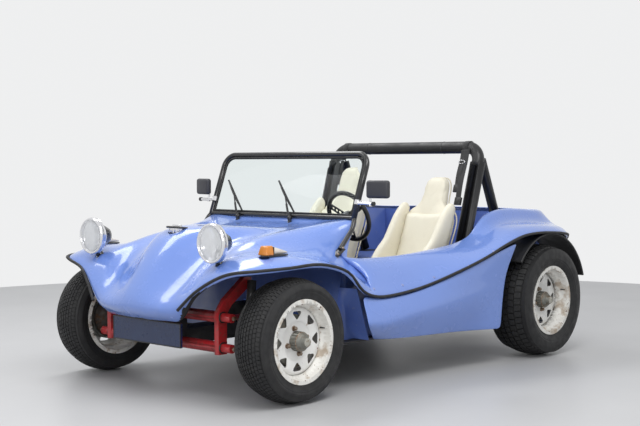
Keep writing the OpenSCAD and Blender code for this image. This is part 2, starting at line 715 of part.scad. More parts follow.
module wheel_front_left() { front_wheel_at() rim(front_rim_w, front_recess); }
module wheel_front_right() { mirror([1, 0, 0]) wheel_front_left(); }
module wheel_rear_left() { rear_wheel_at() rim(rear_rim_w, rear_recess); }
module wheel_rear_right() { mirror([1, 0, 0]) wheel_rear_left(); }
module tyre_front_left() { front_wheel_at() tyre(front_tyre_w / 2, front_tyre_r, front_rim_w); }
module tyre_front_right() { mirror([1, 0, 0]) tyre_front_left(); }
module tyre_rear_left() { rear_wheel_at() tyre(rear_tyre_w / 2, rear_tyre_r, rear_rim_w); }
module tyre_rear_right() { mirror([1, 0, 0]) tyre_rear_left(); }
module drum_front_left() { front_wheel_at() drum(front_disc_z); }
module drum_front_right() { mirror([1, 0, 0]) drum_front_left(); }
module drum_rear_left() { rear_wheel_at() drum(rear_disc_z); }
module drum_rear_right() { mirror([1, 0, 0]) drum_rear_left(); }

// ---- front running gear ----

beam_y = axle_set - beam_ahead;
kingpin_x = front_track / 2 - kingpin_offset;
kingpin_r = 11;
beam_high_z = beam_low_z + beam_rise;
eye_low = beam_low_z - 6;
eye_high = beam_high_z + 6;
arm_x = kingpin_x - 93;
arm_d = 28;

module front_beam() {
    w = beam_half_w;
    color([0.65, 0.06, 0.07]) {
        for (z = [beam_low_z, beam_high_z])
            translate([-w, beam_y, z]) rotate([0, 90, 0]) cylinder(h = 2 * w, d = beam_d);
        both_sides()
            // shock tower: a channel across both tubes that leans back above them
            side_plate(w - 30, w, [[beam_y - 28, beam_low_z - 34], [beam_y + 28, beam_low_z - 34],
                [beam_y + 28, beam_high_z + 14], [beam_y + 62, beam_high_z + 56],
                [beam_y + 196, beam_high_z + 150], [beam_y + 196, beam_high_z + 186],
                [beam_y + 150, beam_high_z + 186], [beam_y + 14, beam_high_z + 84],
                [beam_y - 28, beam_high_z + 26]]);
    }
}

// Torsion arm from the beam's end back to the kingpin's eye
module front_arm(side_z, eye_z) {
    x0 = beam_half_w + seat_gap;
    translate([x0, beam_y, side_z]) rotate([0, 90, 0]) cylinder(h = arm_x + arm_d / 2 - x0, d = 44);
    rod([arm_x, beam_y, side_z], [arm_x, axle_set, eye_z], 28);
    translate([arm_x, axle_set, eye_z]) rotate([0, 90, 0]) cylinder(h = kingpin_x - arm_x, d = 26);
    translate([arm_x, axle_set, eye_z]) sphere(d = 34);
    translate([kingpin_x, axle_set, eye_z - 15]) cylinder(h = 30, r = kingpin_r + 9);
}

module front_arms() {
    color([0.6, 0.07, 0.07])
        both_sides()
            difference() {
                union() {
                    front_arm(beam_low_z, eye_low);
                    front_arm(beam_high_z, eye_high);
                }
                translate([kingpin_x, axle_set, eye_low - 40])
                    cylinder(h = eye_high - eye_low + 80, r = kingpin_r + run_gap);
            }
}

// Knuckle: kingpin through both eyes, brake back plate, steering arm and spindle
module knuckle() {
    c = front_tyre_r;
    mid = (eye_low + eye_high) / 2;
    plate_x = front_track / 2 + front_disc_z - rim_t - drum_deep;
    color([0.22, 0.21, 0.20])
        translate([0, axle_set, 0]) {
            translate([kingpin_x, 0, eye_low - 20]) cylinder(h = eye_high - eye_low + 40, r = kingpin_r);
            translate([kingpin_x, 0, eye_low + 16]) cylinder(h = eye_high - eye_low - 32, r = 20);
            translate([kingpin_x, 0, c]) rotate([0, 90, 0]) cylinder(h = plate_x - kingpin_x + 2, r = 27);
            translate([plate_x, 0, c]) rotate([0, 90, 0]) cylinder(h = 4, r = drum_r - 14, $fn = 72);
            translate([kingpin_x + 10, 0, c]) rotate([0, 90, 0])
                cylinder(h = front_track / 2 + front_disc_z + 2 - kingpin_x - 10, r = spindle_r);
            rod([kingpin_x, 0, mid + 20], [kingpin_x - 26, 112, mid + 20], 20);
        }
}
module knuckle_left() { knuckle(); }
module knuckle_right() { mirror([1, 0, 0]) knuckle(); }

// ---- rear running gear ----

module rear_axle() {
    x1 = rear_track / 2 + rear_disc_z - rim_t - drum_deep;
    color([0.16, 0.15, 0.15])
        both_sides() {
            translate([130 + seat_gap, rear_y, rear_tyre_r]) rotate([0, 90, 0])
                cylinder(h = x1 - 130, r = 36);
            translate([x1, rear_y, rear_tyre_r]) rotate([0, 90, 0])
                cylinder(h = 4, r = drum_r - 14, $fn = 72);
            translate([200, rear_y, rear_tyre_r]) rotate([0, 90, 0])
                cylinder(h = x1 + drum_deep + rim_t + 2 - 200, r = spindle_r);
            // spring plate to the floor's rear torsion tube, and the damper
            rod([520, rear_y, rear_tyre_r], [500, bulk_y + 70, floor_z + 60], 44);
            translate([420, bulk_y + tub_t + seat_gap, floor_z + 34]) cube([120, 90, 60]);
            translate([560, rear_y + 20, rear_tyre_r + 20]) cylinder(h = well_z - seat_gap - rear_tyre_r - 20, r = 22);
        }
}

module gearbox() {
    front = bulk_y + tub_t + seat_gap;
    color([0.35, 0.35, 0.36]) {
        translate([-130, rear_y - 150, rear_tyre_r - 110]) cube([260, 300, 200]);
        translate([-80, front, rear_tyre_r - 70]) cube([160, rear_y - 149 - front, 140]);
    }
}

engine_y = rear_y + 150 + seat_gap;
module engine_block() {
    color([0.30, 0.30, 0.31]) {
        translate([-330, engine_y, 230]) cube([660, 340, 250]);
        translate([-180, engine_y + 30, 479]) cube([360, 100, 76]);
    }
}

module exhaust() {
    y = engine_y + 340 + 62;
    end = rear_y + tail_overhang;
    color([0.2, 0.2, 0.2]) {
        translate([-300, y, 290]) rotate([0, 90, 0]) cylinder(h = 600, r = 56);
        both_sides() {
            translate([120, y, 262]) rotate([-90, 0, 0]) cylinder(h = end - y, d = 34);
            translate([250, engine_y + 340 + seat_gap, 300]) rotate([-90, 0, 0]) cylinder(h = 40, d = 38);
        }
    }
}

arch_r = 407;
arch_in = 656;
module rear_arch_trims() {
    color([0.05, 0.05, 0.055])
        both_sides()
            translate([arch_in, rear_y + 14, rear_tyre_r])
                rotate([90, 0, 90])
                    linear_extrude(wide(881.4) - arch_in)
                        polygon(concat(arc(0, 0, arch_r, 18, 142, 24), arc(0, 0, arch_r - 12, 142, 18, 24)));
}

// ---- lamps and fittings ----

lamp_y = -252;
module headlamps() {
    both_sides() {
        color([0.05, 0.05, 0.055]) {
            translate([lamp_x, lamp_y + 14, lamp_z]) rotate([-90, 0, 0])
                cylinder(h = 98, r1 = lamp_d / 2 - 6, r2 = 40);
            translate([lamp_x, lamp_y + 58, 660]) cylinder(h = lamp_z - 60 - 660, r = 13);
        }
        color([0.8, 0.8, 0.82])
            translate([lamp_x, lamp_y, lamp_z])
                rotate([-90, 0, 0])
                    rotate_extrude($fn = 72)
                        polygon([[lamp_d / 2 - 13, 0], [lamp_d / 2 - 5, 0], [lamp_d / 2, 8], [lamp_d / 2, 20],
                            [lamp_d / 2 - 13, 20]]);
    }
}

module headlamp_lenses() {
    r = lamp_d / 2 - 13 - seat_gap;
    color([0.85, 0.9, 0.92, 0.5])
        both_sides()
            translate([lamp_x, lamp_y, lamp_z])
                rotate([-90, 0, 0])
                    rotate_extrude($fn = 72)
                        polygon([[0, -8], [40, -5], [r, 5], [r, 9], [0, 3]]);
}

indicator_at = [664, -72];
module front_indicators() {
    color([0.95, 0.45, 0.05])
        both_sides()
            translate([indicator_at.x, indicator_at.y, 0]) {
                translate([0, 0, 706]) cylinder(h = 56, r = 26);
                translate([0, 10, 738]) rotate([-90, 0, 0]) cylinder(h = 92, r1 = 21, r2 = 7);
            }
}

module tail_lamps() {
    color([0.7, 0.05, 0.05])
        both_sides()
            translate([560, along(2570), 676]) rotate([-90, 0, 0]) cylinder(h = 46, r = 42);
}

cap_r = 44;
cap_y = -50;
module fuel_cap() {
    color([0.8, 0.8, 0.82])
        difference() {
            translate([0, cap_y, 808]) cylinder(h = 28, r = cap_r);
            translate([0, cap_y, 830]) cylinder(h = 10, r = cap_r - 10);
        }
}

plate_y = -262;
plate_z = 316;
module number_plate() {
    color([0.06, 0.12, 0.30])
        translate([-plate_w / 2, plate_y, plate_z - plate_h / 2]) cube([plate_w, 12, plate_h]);
    color([0.1, 0.1, 0.1])
        both_sides()
            translate([110, plate_y + 11, beam_low_z - 4])
                cube([30, beam_y - beam_d / 2 - seat_gap - plate_y - 11, 8]);
}

// Everything that is let into the body's skin
module body_holes() {
    g = seat_gap;
    translate([0, cap_y, 780]) cylinder(h = 80, r = cap_r + g);
    screen_plane() {
        rod([-screen_half_w - 14, 0, 0], [screen_half_w + 14, 0, 0], bar_low_d + 2 * g);
        for (s = [-1, 1]) rod([s * screen_half_w, -16, 0], [s * screen_half_w, 40, 0], screen_d + 2 * g);
    }
    for (x = wiper_x) translate([x, wiper_y, 800]) cylinder(h = 80, r = 10 + g);
    both_sides() {
        translate([indicator_at.x, indicator_at.y, 680]) cylinder(h = 60, r = 26 + g);
        translate([lamp_x, lamp_y + 58, 640]) cylinder(h = 80, r = 13 + g);
        translate([560, along(2540), 676]) rotate([-90, 0, 0]) cylinder(h = 100, r = 42 + g);
    }
}

module placed() { translate([0, datum_y, 0]) children(); }

placed() body_shell();
placed() side_pod_left();
placed() side_pod_right();
placed() inner_tub();
placed() floor_pan();
placed() dashboard();
placed() windscreen_frame();
placed() windscreen_glass();
placed() wipers();
placed() roll_bar();
placed() seat_left();
placed() seat_right();
placed() seat_belts();
placed() steering_column();
placed() steering_wheel();
placed() pedals();
placed() gear_lever();
placed() front_beam();
placed() front_arms();
placed() knuckle_left();
placed() knuckle_right();
placed() wheel_front_left();
placed() wheel_front_right();
placed() tyre_front_left();
placed() tyre_front_right();
placed() drum_front_left();
placed() drum_front_right();
placed() wheel_rear_left();
placed() wheel_rear_right();
placed() tyre_rear_left();
placed() tyre_rear_right();
placed() drum_rear_left();
placed() drum_rear_right();
placed() rear_axle();
placed() gearbox();
placed() engine_block();
placed() exhaust();
placed() rear_arch_trims();
placed() headlamps();
placed() headlamp_lenses();
placed() front_indicators();
placed() tail_lamps();
placed() fuel_cap();
placed() number_plate();
placed() mirrors();
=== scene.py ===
import json
import math

import bpy
from mathutils import Matrix, Vector

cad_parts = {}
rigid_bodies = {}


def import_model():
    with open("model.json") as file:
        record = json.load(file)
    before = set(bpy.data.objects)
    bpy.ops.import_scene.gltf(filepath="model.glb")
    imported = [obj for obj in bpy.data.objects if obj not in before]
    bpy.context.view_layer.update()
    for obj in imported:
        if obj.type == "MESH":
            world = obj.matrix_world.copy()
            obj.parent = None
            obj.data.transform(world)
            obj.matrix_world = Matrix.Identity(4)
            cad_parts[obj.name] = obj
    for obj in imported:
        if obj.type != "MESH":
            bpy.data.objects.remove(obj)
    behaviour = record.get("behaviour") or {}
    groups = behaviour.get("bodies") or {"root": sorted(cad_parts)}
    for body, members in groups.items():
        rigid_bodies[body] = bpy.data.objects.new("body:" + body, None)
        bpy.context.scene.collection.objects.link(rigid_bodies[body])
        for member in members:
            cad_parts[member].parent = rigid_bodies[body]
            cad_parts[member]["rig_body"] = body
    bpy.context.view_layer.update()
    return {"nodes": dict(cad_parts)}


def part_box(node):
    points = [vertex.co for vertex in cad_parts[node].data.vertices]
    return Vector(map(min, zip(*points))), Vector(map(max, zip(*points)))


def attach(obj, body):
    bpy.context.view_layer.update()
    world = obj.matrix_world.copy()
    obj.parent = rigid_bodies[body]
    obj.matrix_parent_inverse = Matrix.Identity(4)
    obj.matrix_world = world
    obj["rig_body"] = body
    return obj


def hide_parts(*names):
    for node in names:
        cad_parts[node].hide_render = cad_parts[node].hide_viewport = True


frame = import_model()
node = frame["nodes"]

# ---- Floor, backdrop, lamps and camera ----
# A round pale painted floor stands in plain white, with two large soft panels
# overhead and one in front, as in a studio for cars.


def only(*objects):
    """Leaves just these objects selected, the first one active"""
    bpy.ops.object.select_all(action="DESELECT")
    for o in objects:
        o.select_set(True)
    bpy.context.view_layer.objects.active = objects[0]


def finish(name, colour, rough, metal=0.0, coat=0.0):
    """A new material whose shader holds these plain values"""
    mat = bpy.data.materials.new(name)
    mat.use_nodes = True
    skin = mat.node_tree.nodes["Principled BSDF"]
    skin.inputs["Base Color"].default_value = (*colour, 1)
    skin.inputs["Roughness"].default_value = rough
    skin.inputs["Metallic"].default_value = metal
    skin.inputs["Coat Weight"].default_value = coat
    skin.inputs["Coat Roughness"].default_value = 0.05
    return mat


def grain(mat, scale, detail=3.0, stretch=(1, 1, 1), turn=(0, 0, 0)):
    """Noise over the piece's own coordinates"""
    tree = mat.node_tree
    place = tree.nodes.new("ShaderNodeTexCoord")
    put = tree.nodes.new("ShaderNodeMapping")
    put.inputs["Scale"].default_value = stretch
    put.inputs["Rotation"].default_value = turn
    noise = tree.nodes.new("ShaderNodeTexNoise")
    noise.inputs["Scale"].default_value = scale
    noise.inputs["Detail"].default_value = detail
    tree.links.new(place.outputs["Object"], put.inputs["Vector"])
    tree.links.new(put.outputs["Vector"], noise.inputs["Vector"])
    return noise.outputs["Fac"]


def level(mat, fac, low, high, least=0.0, most=1.0):
    """Stretches a part of a pattern's range over another range"""
    spread = mat.node_tree.nodes.new("ShaderNodeMapRange")
    spread.inputs["From Min"].default_value = low
    spread.inputs["From Max"].default_value = high
    spread.inputs["To Min"].default_value = least
    spread.inputs["To Max"].default_value = most
    mat.node_tree.links.new(fac, spread.inputs["Value"])
    return spread.outputs["Result"]


def tint(mat, fac, colour):
    """Lays a colour over the base colour where the pattern is high"""
    tree = mat.node_tree
    base = tree.nodes["Principled BSDF"].inputs["Base Color"]
    mix = tree.nodes.new("ShaderNodeMix")
    mix.data_type = "RGBA"
    if base.links:
        tree.links.new(base.links[0].from_socket, mix.inputs["A"])
    else:
        mix.inputs["A"].default_value = base.default_value
    mix.inputs["B"].default_value = (*colour, 1)
    tree.links.new(fac, mix.inputs["Factor"])
    tree.links.new(mix.outputs["Result"], base)


def drives(mat, fac, name):
    """Lets a pattern set one of the shader's values"""
    mat.node_tree.links.new(fac, mat.node_tree.nodes["Principled BSDF"].inputs[name])


def relief(mat, height, deep, strength=1.0):
    """Raises the surface by a pattern, deep metres from low to high"""
    tree = mat.node_tree
    bump = tree.nodes.new("ShaderNodeBump")
    bump.inputs["Distance"].default_value = deep
    bump.inputs["Strength"].default_value = strength
    normal = tree.nodes["Principled BSDF"].inputs["Normal"]
    if normal.links:
        tree.links.new(normal.links[0].from_socket, bump.inputs["Normal"])
    tree.links.new(height, bump.inputs["Height"])
    tree.links.new(bump.outputs["Normal"], normal)


def stain(mat, scale, detail, low, high, colour, most=1.0):
    """Lays a colour on in patches where noise lies between low and high"""
    tint(mat, level(mat, grain(mat, scale, detail), low, high, 0, most), colour)


def polish(mat, scale, detail, low, high, least, most):
    """Makes the roughness uneven, from least to most"""
    drives(mat, level(mat, grain(mat, scale, detail), low, high, least, most), "Roughness")


def pitted(mat, scale, detail, deep, strength):
    """Roughens the surface with noise"""
    relief(mat, grain(mat, scale, detail), deep, strength)


floor_paint = finish("floor_paint", (0.52, 0.52, 0.525), 0.42)
pitted(floor_paint, 14, 4, 0.002, 0.3)
polish(floor_paint, 1.2, 3, 0.3, 0.7, 0.38, 0.5)
bpy.ops.mesh.primitive_circle_add(vertices=128, radius=5.2, fill_type="NGON", location=(0, 0, 0))
studio_floor = bpy.context.object
studio_floor.name = "studio_floor"
studio_floor.data.materials.append(floor_paint)

# The wall and ceiling are only seen, or mirrored in metal and glass, as plain white.
sky = bpy.data.worlds.new("studio_light")
bpy.context.scene.world = sky
sky.use_nodes = True
glow = sky.node_tree.nodes["Background"]
glow.inputs["Color"].default_value = (0.95, 0.97, 1.0, 1)
glow.inputs["Strength"].default_value = 0.62
wall = sky.node_tree.nodes.new("ShaderNodeBackground")
wall.inputs["Color"].default_value = (0.86, 0.865, 0.87, 1)
wall.inputs["Strength"].default_value = 1.0
seen = sky.node_tree.nodes.new("ShaderNodeLightPath")
seen_or_mirrored = sky.node_tree.nodes.new("ShaderNodeMath")
seen_or_mirrored.operation = "MAXIMUM"
through = sky.node_tree.nodes.new("ShaderNodeMath")
through.operation = "MAXIMUM"
both = sky.node_tree.nodes.new("ShaderNodeMixShader")
sky.node_tree.links.new(seen.outputs["Is Camera Ray"], seen_or_mirrored.inputs[0])
sky.node_tree.links.new(seen.outputs["Is Glossy Ray"], seen_or_mirrored.inputs[1])
sky.node_tree.links.new(seen_or_mirrored.outputs["Value"], through.inputs[0])
sky.node_tree.links.new(seen.outputs["Is Transmission Ray"], through.inputs[1])
sky.node_tree.links.new(through.outputs["Value"], both.inputs["Fac"])
sky.node_tree.links.new(glow.outputs["Background"], both.inputs[1])
sky.node_tree.links.new(wall.outputs["Background"], both.inputs[2])
sky.node_tree.links.new(both.outputs["Shader"],
                        sky.node_tree.nodes["World Output"].inputs["Surface"])

for lamp_name, spot, turn, wide, long, power in (
    ("panel_left", (2.6, -2.2, 4.2), (-18, 28, 0), 1.6, 4.2, 120),
    ("panel_right", (-2.2, -0.6, 4.4), (0, -24, 0), 1.4, 4.6, 95),
    ("panel_front", (3.4, -6.5, 2.9), (62, 0, 28), 3.6, 1.6, 85),
):
    bpy.ops.object.light_add(type="AREA", location=spot)
    lamp = bpy.context.object
    lamp.name = lamp_name
    lamp.rotation_euler = [math.radians(t) for t in turn]
    lamp.data.shape = "RECTANGLE"
    lamp.data.size = wide
    lamp.data.size_y = long
    lamp.data.energy = power

bpy.ops.object.camera_add(location=(4.755, -5.3095, 1.168))
camera = bpy.context.object
camera.rotation_euler = (math.radians(90 - 2.41), math.radians(0.17), math.radians(42.74))
camera.data.lens = 67.34
camera.data.sensor_width = 36
camera.data.clip_end = 60
bpy.context.scene.camera = camera
bpy.context.scene.view_settings.view_transform = "Standard"

# ---- Body shell ----
# The moulded outer body: glass fibre about 6 mm thick with a glossy mid-blue
# gelcoat, in one piece from the nose round the open cockpit to the tail.


def joined(name):
    """A copy of a CAD node, its points merged so that round faces can be smooth"""
    o = bpy.data.objects.new(name + "_skin", node[name].data.copy())
    bpy.context.scene.collection.objects.link(o)
    only(o)
    bpy.ops.object.mode_set(mode="EDIT")
    bpy.ops.mesh.select_all(action="SELECT")
    bpy.ops.mesh.remove_doubles(threshold=0.00002)
    bpy.ops.object.mode_set(mode="OBJECT")
    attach(o, node[name]["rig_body"])
    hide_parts(name)
    return o


def baked(place=True, turn=True):
    """Puts the selected pieces' scale, and their place and turn, into their meshes"""
    bpy.ops.object.transform_apply(location=place, rotation=turn, scale=True)


def coated(o, *mats):
    """Gives a piece its materials in place of any it has"""
    o.data.materials.clear()
    for mat in mats:
        o.data.materials.append(mat)


def rounded_copy(name, mat, angle=32):
    """A merged copy of a CAD node with smooth round faces and this material"""
    o = joined(name)
    bpy.ops.object.shade_smooth_by_angle(angle=math.radians(angle))
    coated(o, mat)
    return o


def applied(o, kind, **values):
    """Adds a modifier to a piece and applies it"""
    only(o)
    m = o.modifiers.new(kind.lower(), kind)
    for key, value in values.items():
        setattr(m, key, value)
    bpy.ops.object.modifier_apply(modifier=m.name)


gelcoat = finish("blue_gelcoat", (0.165, 0.275, 0.68), 0.24, coat=0.8)
pitted(gelcoat, 5, 2, 0.0016, 0.25)
pitted(gelcoat, 420, 2, 0.0002, 0.12)
stain(gelcoat, 2.2, 4, 0.45, 0.75, (0.13, 0.225, 0.60), 0.35)
polish(gelcoat, 9, 5, 0.3, 0.75, 0.18, 0.34)

# Painted shade: a near-black coat with a few duller patches, laid on the blue body where it looks
# down and inside the wings at nose and tail, where shade falls.
painted_shade_black = finish("painted_shade_black", (0.014, 0.014, 0.015), 0.8)
pitted(painted_shade_black, 90, 4, 0.0012, 0.5)
stain(painted_shade_black, 12, 4, 0.5, 0.75, (0.035, 0.032, 0.028), 0.5)

for part_name in ("body_shell", "side_pod_left", "side_pod_right"):
    shell = joined(part_name)
    bpy.ops.object.mode_set(mode="EDIT")
    bpy.ops.mesh.select_all(action="SELECT")
    bpy.ops.mesh.tris_convert_to_quads(face_threshold=math.radians(60),
                                       shape_threshold=math.radians(60))
    bpy.ops.object.mode_set(mode="OBJECT")
    applied(shell, "SUBSURF", levels=2, render_levels=2)
    bpy.ops.object.shade_smooth()
    coated(shell, gelcoat, painted_shade_black)
    # Body shell faces that look down, and wing faces turned inward at the nose and tail, get the
    # painted shade in slot 1; the side pods stay blue all over.
    for f in shell.data.polygons:
        c, n = f.center, f.normal
        out = n.x * (1 if c.x > 0 else -1)
        ends = c.y < -0.72 or c.y > 0.62
        shaded_under = n.z < -0.25 and out < 0.3 and n.y > -0.45 and c.z < 0.75
        shaded_under = shaded_under or (n.z < -0.15 and abs(c.x) < 0.70 and ends and n.y > -0.45 and c.z < 0.8)
        shaded_inward = out < -0.12 and n.z < 0.1 and abs(c.x) > 0.35 and c.z < 0.76 and ends
        f.material_index = 1 if (shaded_under or shaded_inward) and part_name == "body_shell" else 0

# ---- Rubber beading and edge trim ----
# Black rubber is pushed over the cut edge of the wings, and a round black bead
# closes the seam where the side pod meets the body. Both follow the edge.


def flowing(points, steps=4):
    """Points on an even curve through the given points"""
    ends = [Vector(p) for p in (points[0], *points, points[-1])]
    line = []
    for a, b, c, d in zip(ends, ends[1:], ends[2:], ends[3:]):
        for k in range(steps):
            t = k / steps
            line.append(0.5 * (2 * b + (c - a) * t + (2 * a - 5 * b + 4 * c - d) * t * t
                               + (3 * b - a - 3 * c + d) * t * t * t))
    return line + [ends[-1]]


def hose(name, points, radius, mat, body="chassis", steps=4):
    """A round strip along points, made a mesh in place"""
    curve = bpy.data.curves.new(name, "CURVE")
    curve.dimensions = "3D"
    curve.bevel_depth = radius
    curve.bevel_resolution = 3
    curve.use_fill_caps = True
    line = curve.splines.new("POLY")
    path = flowing(points, steps)
    line.points.add(len(path) - 1)
    for knot, p in zip(line.points, path):
        knot.co = (*p, 1)
    o = bpy.data.objects.new(name, curve)
    bpy.context.scene.collection.objects.link(o)
    only(o)
    bpy.ops.object.convert(target="MESH")
    bpy.ops.object.shade_smooth_by_angle(angle=math.radians(50))
    coated(o, mat)
    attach(o, body)
    return o


def mirrored(points):
    """The same line on the car's other side"""
    return [(-x, y, z) for x, y, z in points]


edge_rubber = finish("edge_rubber", (0.012, 0.012, 0.013), 0.55)
pitted(edge_rubber, 300, 2, 0.0003, 0.4)
polish(edge_rubber, 20, 3, 0.3, 0.7, 0.45, 0.7)

wing_edge = [
    (0.335, -1.546, 0.455), (0.425, -1.516, 0.544), (0.530, -1.480, 0.611), (0.645, -1.472, 0.647),
    (0.740, -1.408, 0.659), (0.799, -1.238, 0.667), (0.803, -1.028, 0.671), (0.801, -0.828, 0.621),
    (0.801, -0.708, 0.515), (0.802, -0.588, 0.476), (0.802, -0.408, 0.478), (0.808, -0.188, 0.504),
    (0.836, 0.052, 0.561), (0.858, 0.282, 0.625), (0.876, 0.472, 0.693), (0.890, 0.632, 0.737),
    (0.898, 0.802, 0.748), (0.900, 0.972, 0.741), (0.888, 1.0805, 0.731), (0.846, 1.1885, 0.715),
    (0.722, 1.3205, 0.671), (0.420, 1.3925, 0.639), (0.0, 1.4025, 0.635),
]
for side, line in (("left", wing_edge), ("right", mirrored(wing_edge))):
    hose("edge_trim_" + side, line, 0.0078, edge_rubber)

# ---- Rivets along the beading ----
# Domed plastic-capped rivets hold the pod to the body just above the bead. The
# same rivets hold the black arch band at the rear.
rivet_cap = finish("rivet_cap", (0.2, 0.26, 0.55), 0.35, coat=0.4)
stain(rivet_cap, 160, 2, 0.5, 0.7, (0.5, 0.5, 0.52), 0.6)


# Turns a primitive's axis from upright to across the car, or to along it.
ACROSS = (0, math.radians(90), 0)
ENDWISE = (math.radians(90), 0, 0)


def drawn(kind, name, mat, **values):
    """Adds one primitive, named and coated, and leaves only it selected"""
    bpy.ops.object.select_all(action="DESELECT")
    getattr(bpy.ops.mesh, "primitive_" + kind + "_add")(**values)
    o = bpy.context.object
    o.name = name
    coated(o, mat)
    only(o)
    return o


def block(name, mat, at, size, turn=(0, 0, 0)):
    """A box of this size, its scale not yet applied"""
    o = drawn("cube", name, mat, size=1, location=at, rotation=turn)
    o.scale = size
    return o


def settled(o, body="chassis", angle=40, bevel=0.0, parts=2):
    """Puts a piece's place in its mesh, rounds its edges and makes it ride"""
    only(o)
    baked()
    if bevel:
        applied(o, "BEVEL", width=bevel, segments=parts, limit_method="ANGLE",
                angle_limit=math.radians(35))
    only(o)
    bpy.ops.object.shade_smooth_by_angle(angle=math.radians(angle))
    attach(o, body)
    return o


def put_together(name, pieces):
    """Joins like pieces into one, keeping each one's material"""
    only(*pieces)
    if len(pieces) > 1:
        bpy.ops.object.join()
    o = bpy.context.object
    o.name = name
    return o


def picked(o, test, mode="FACE"):
    """Selects the faces (or points) of a piece in edit mode by their place"""
    bpy.ops.object.mode_set(mode="EDIT")
    bpy.ops.mesh.select_mode(type=mode)
    bpy.ops.mesh.select_all(action="DESELECT")
    bpy.ops.object.mode_set(mode="OBJECT")
    if mode == "FACE":
        for f in o.data.polygons:
            f.select = bool(test(f.center, f.normal))
    else:
        for v in o.data.vertices:
            v.select = bool(test(v.co, v.normal))
    bpy.ops.object.mode_set(mode="EDIT")


shell = bpy.data.objects["body_shell_skin"]
rivets = []
for y, z in ((-0.60, 0.506), (-0.37, 0.508), (-0.12, 0.532), (0.14, 0.578), (0.36, 0.65)):
    for side in (1, -1):
        hit, at, out, face = shell.ray_cast(Vector((1.3 * side, y, z + 0.01)),
                                            Vector((-side, 0, 0)))
        if not hit:
            continue
        r = drawn("uv_sphere", "rivet", rivet_cap, segments=12, ring_count=6, radius=0.009,
                  location=at)
        r.scale = (0.4, 1, 1)
        bpy.ops.object.transform_apply(scale=True, location=False, rotation=False)
        r.rotation_euler = out.to_track_quat("X", "Z").to_euler()
        rivets.append(r)
settled(put_together("body_rivets", rivets))

# ---- Steel wheels ----
# Fifteen-inch steel wheels with eight slots, painted white. Brake dust and rust
# have come through round the slots, the bolts and the rim's edge.
wheel_white = finish("wheel_white", (0.84, 0.835, 0.81), 0.34)
dust = grain(wheel_white, 9, 5)
tint(wheel_white, level(wheel_white, dust, 0.5, 0.8, 0, 0.2), (0.66, 0.62, 0.54))
rust = grain(wheel_white, 38, 8)
tint(wheel_white, level(wheel_white, rust, 0.69, 0.73), (0.30, 0.15, 0.07))
drives(wheel_white, level(wheel_white, rust, 0.5, 0.70, 0.34, 0.8), "Roughness")
relief(wheel_white, rust, 0.0005, 0.25)
# The barrel and the rim's edge have rusted far more than the flat of the disc.
rim_rust = finish("rim_rust", (0.78, 0.765, 0.72), 0.42)
stain(rim_rust, 16, 8, 0.52, 0.66, (0.38, 0.29, 0.20), 0.8)
stain(rim_rust, 55, 6, 0.64, 0.70, (0.16, 0.085, 0.045))
pitted(rim_rust, 60, 6, 0.0007, 0.5)

bare_bolt = finish("bare_bolt", (0.30, 0.25, 0.20), 0.5, metal=0.8)
stain(bare_bolt, 90, 5, 0.45, 0.65, (0.16, 0.075, 0.035))
pitted(bare_bolt, 200, 3, 0.0005, 0.5)
hub_grey = finish("hub_grey", (0.19, 0.19, 0.17), 0.5, metal=0.5)
stain(hub_grey, 40, 5, 0.5, 0.72, (0.13, 0.09, 0.055), 0.8)
pitted(hub_grey, 120, 3, 0.0004, 0.4)
hub_pale = finish("hub_pale", (0.42, 0.41, 0.36), 0.45, metal=0.3)
pitted(hub_pale, 150, 3, 0.0004, 0.4)
stain(hub_pale, 60, 4, 0.5, 0.7, (0.2, 0.15, 0.10))

# Tyres: black rubber, siped tread blocks at the front and deep road blocks behind.
# The flanks are plain, with fine rings moulded into them.
tyre_rubber = finish("tyre_rubber", (0.011, 0.011, 0.012), 0.6)
stain(tyre_rubber, 16, 5, 0.45, 0.8, (0.028, 0.027, 0.025), 0.4)
polish(tyre_rubber, 30, 4, 0.3, 0.7, 0.5, 0.78)
pitted(tyre_rubber, 500, 2, 0.0003, 0.4)


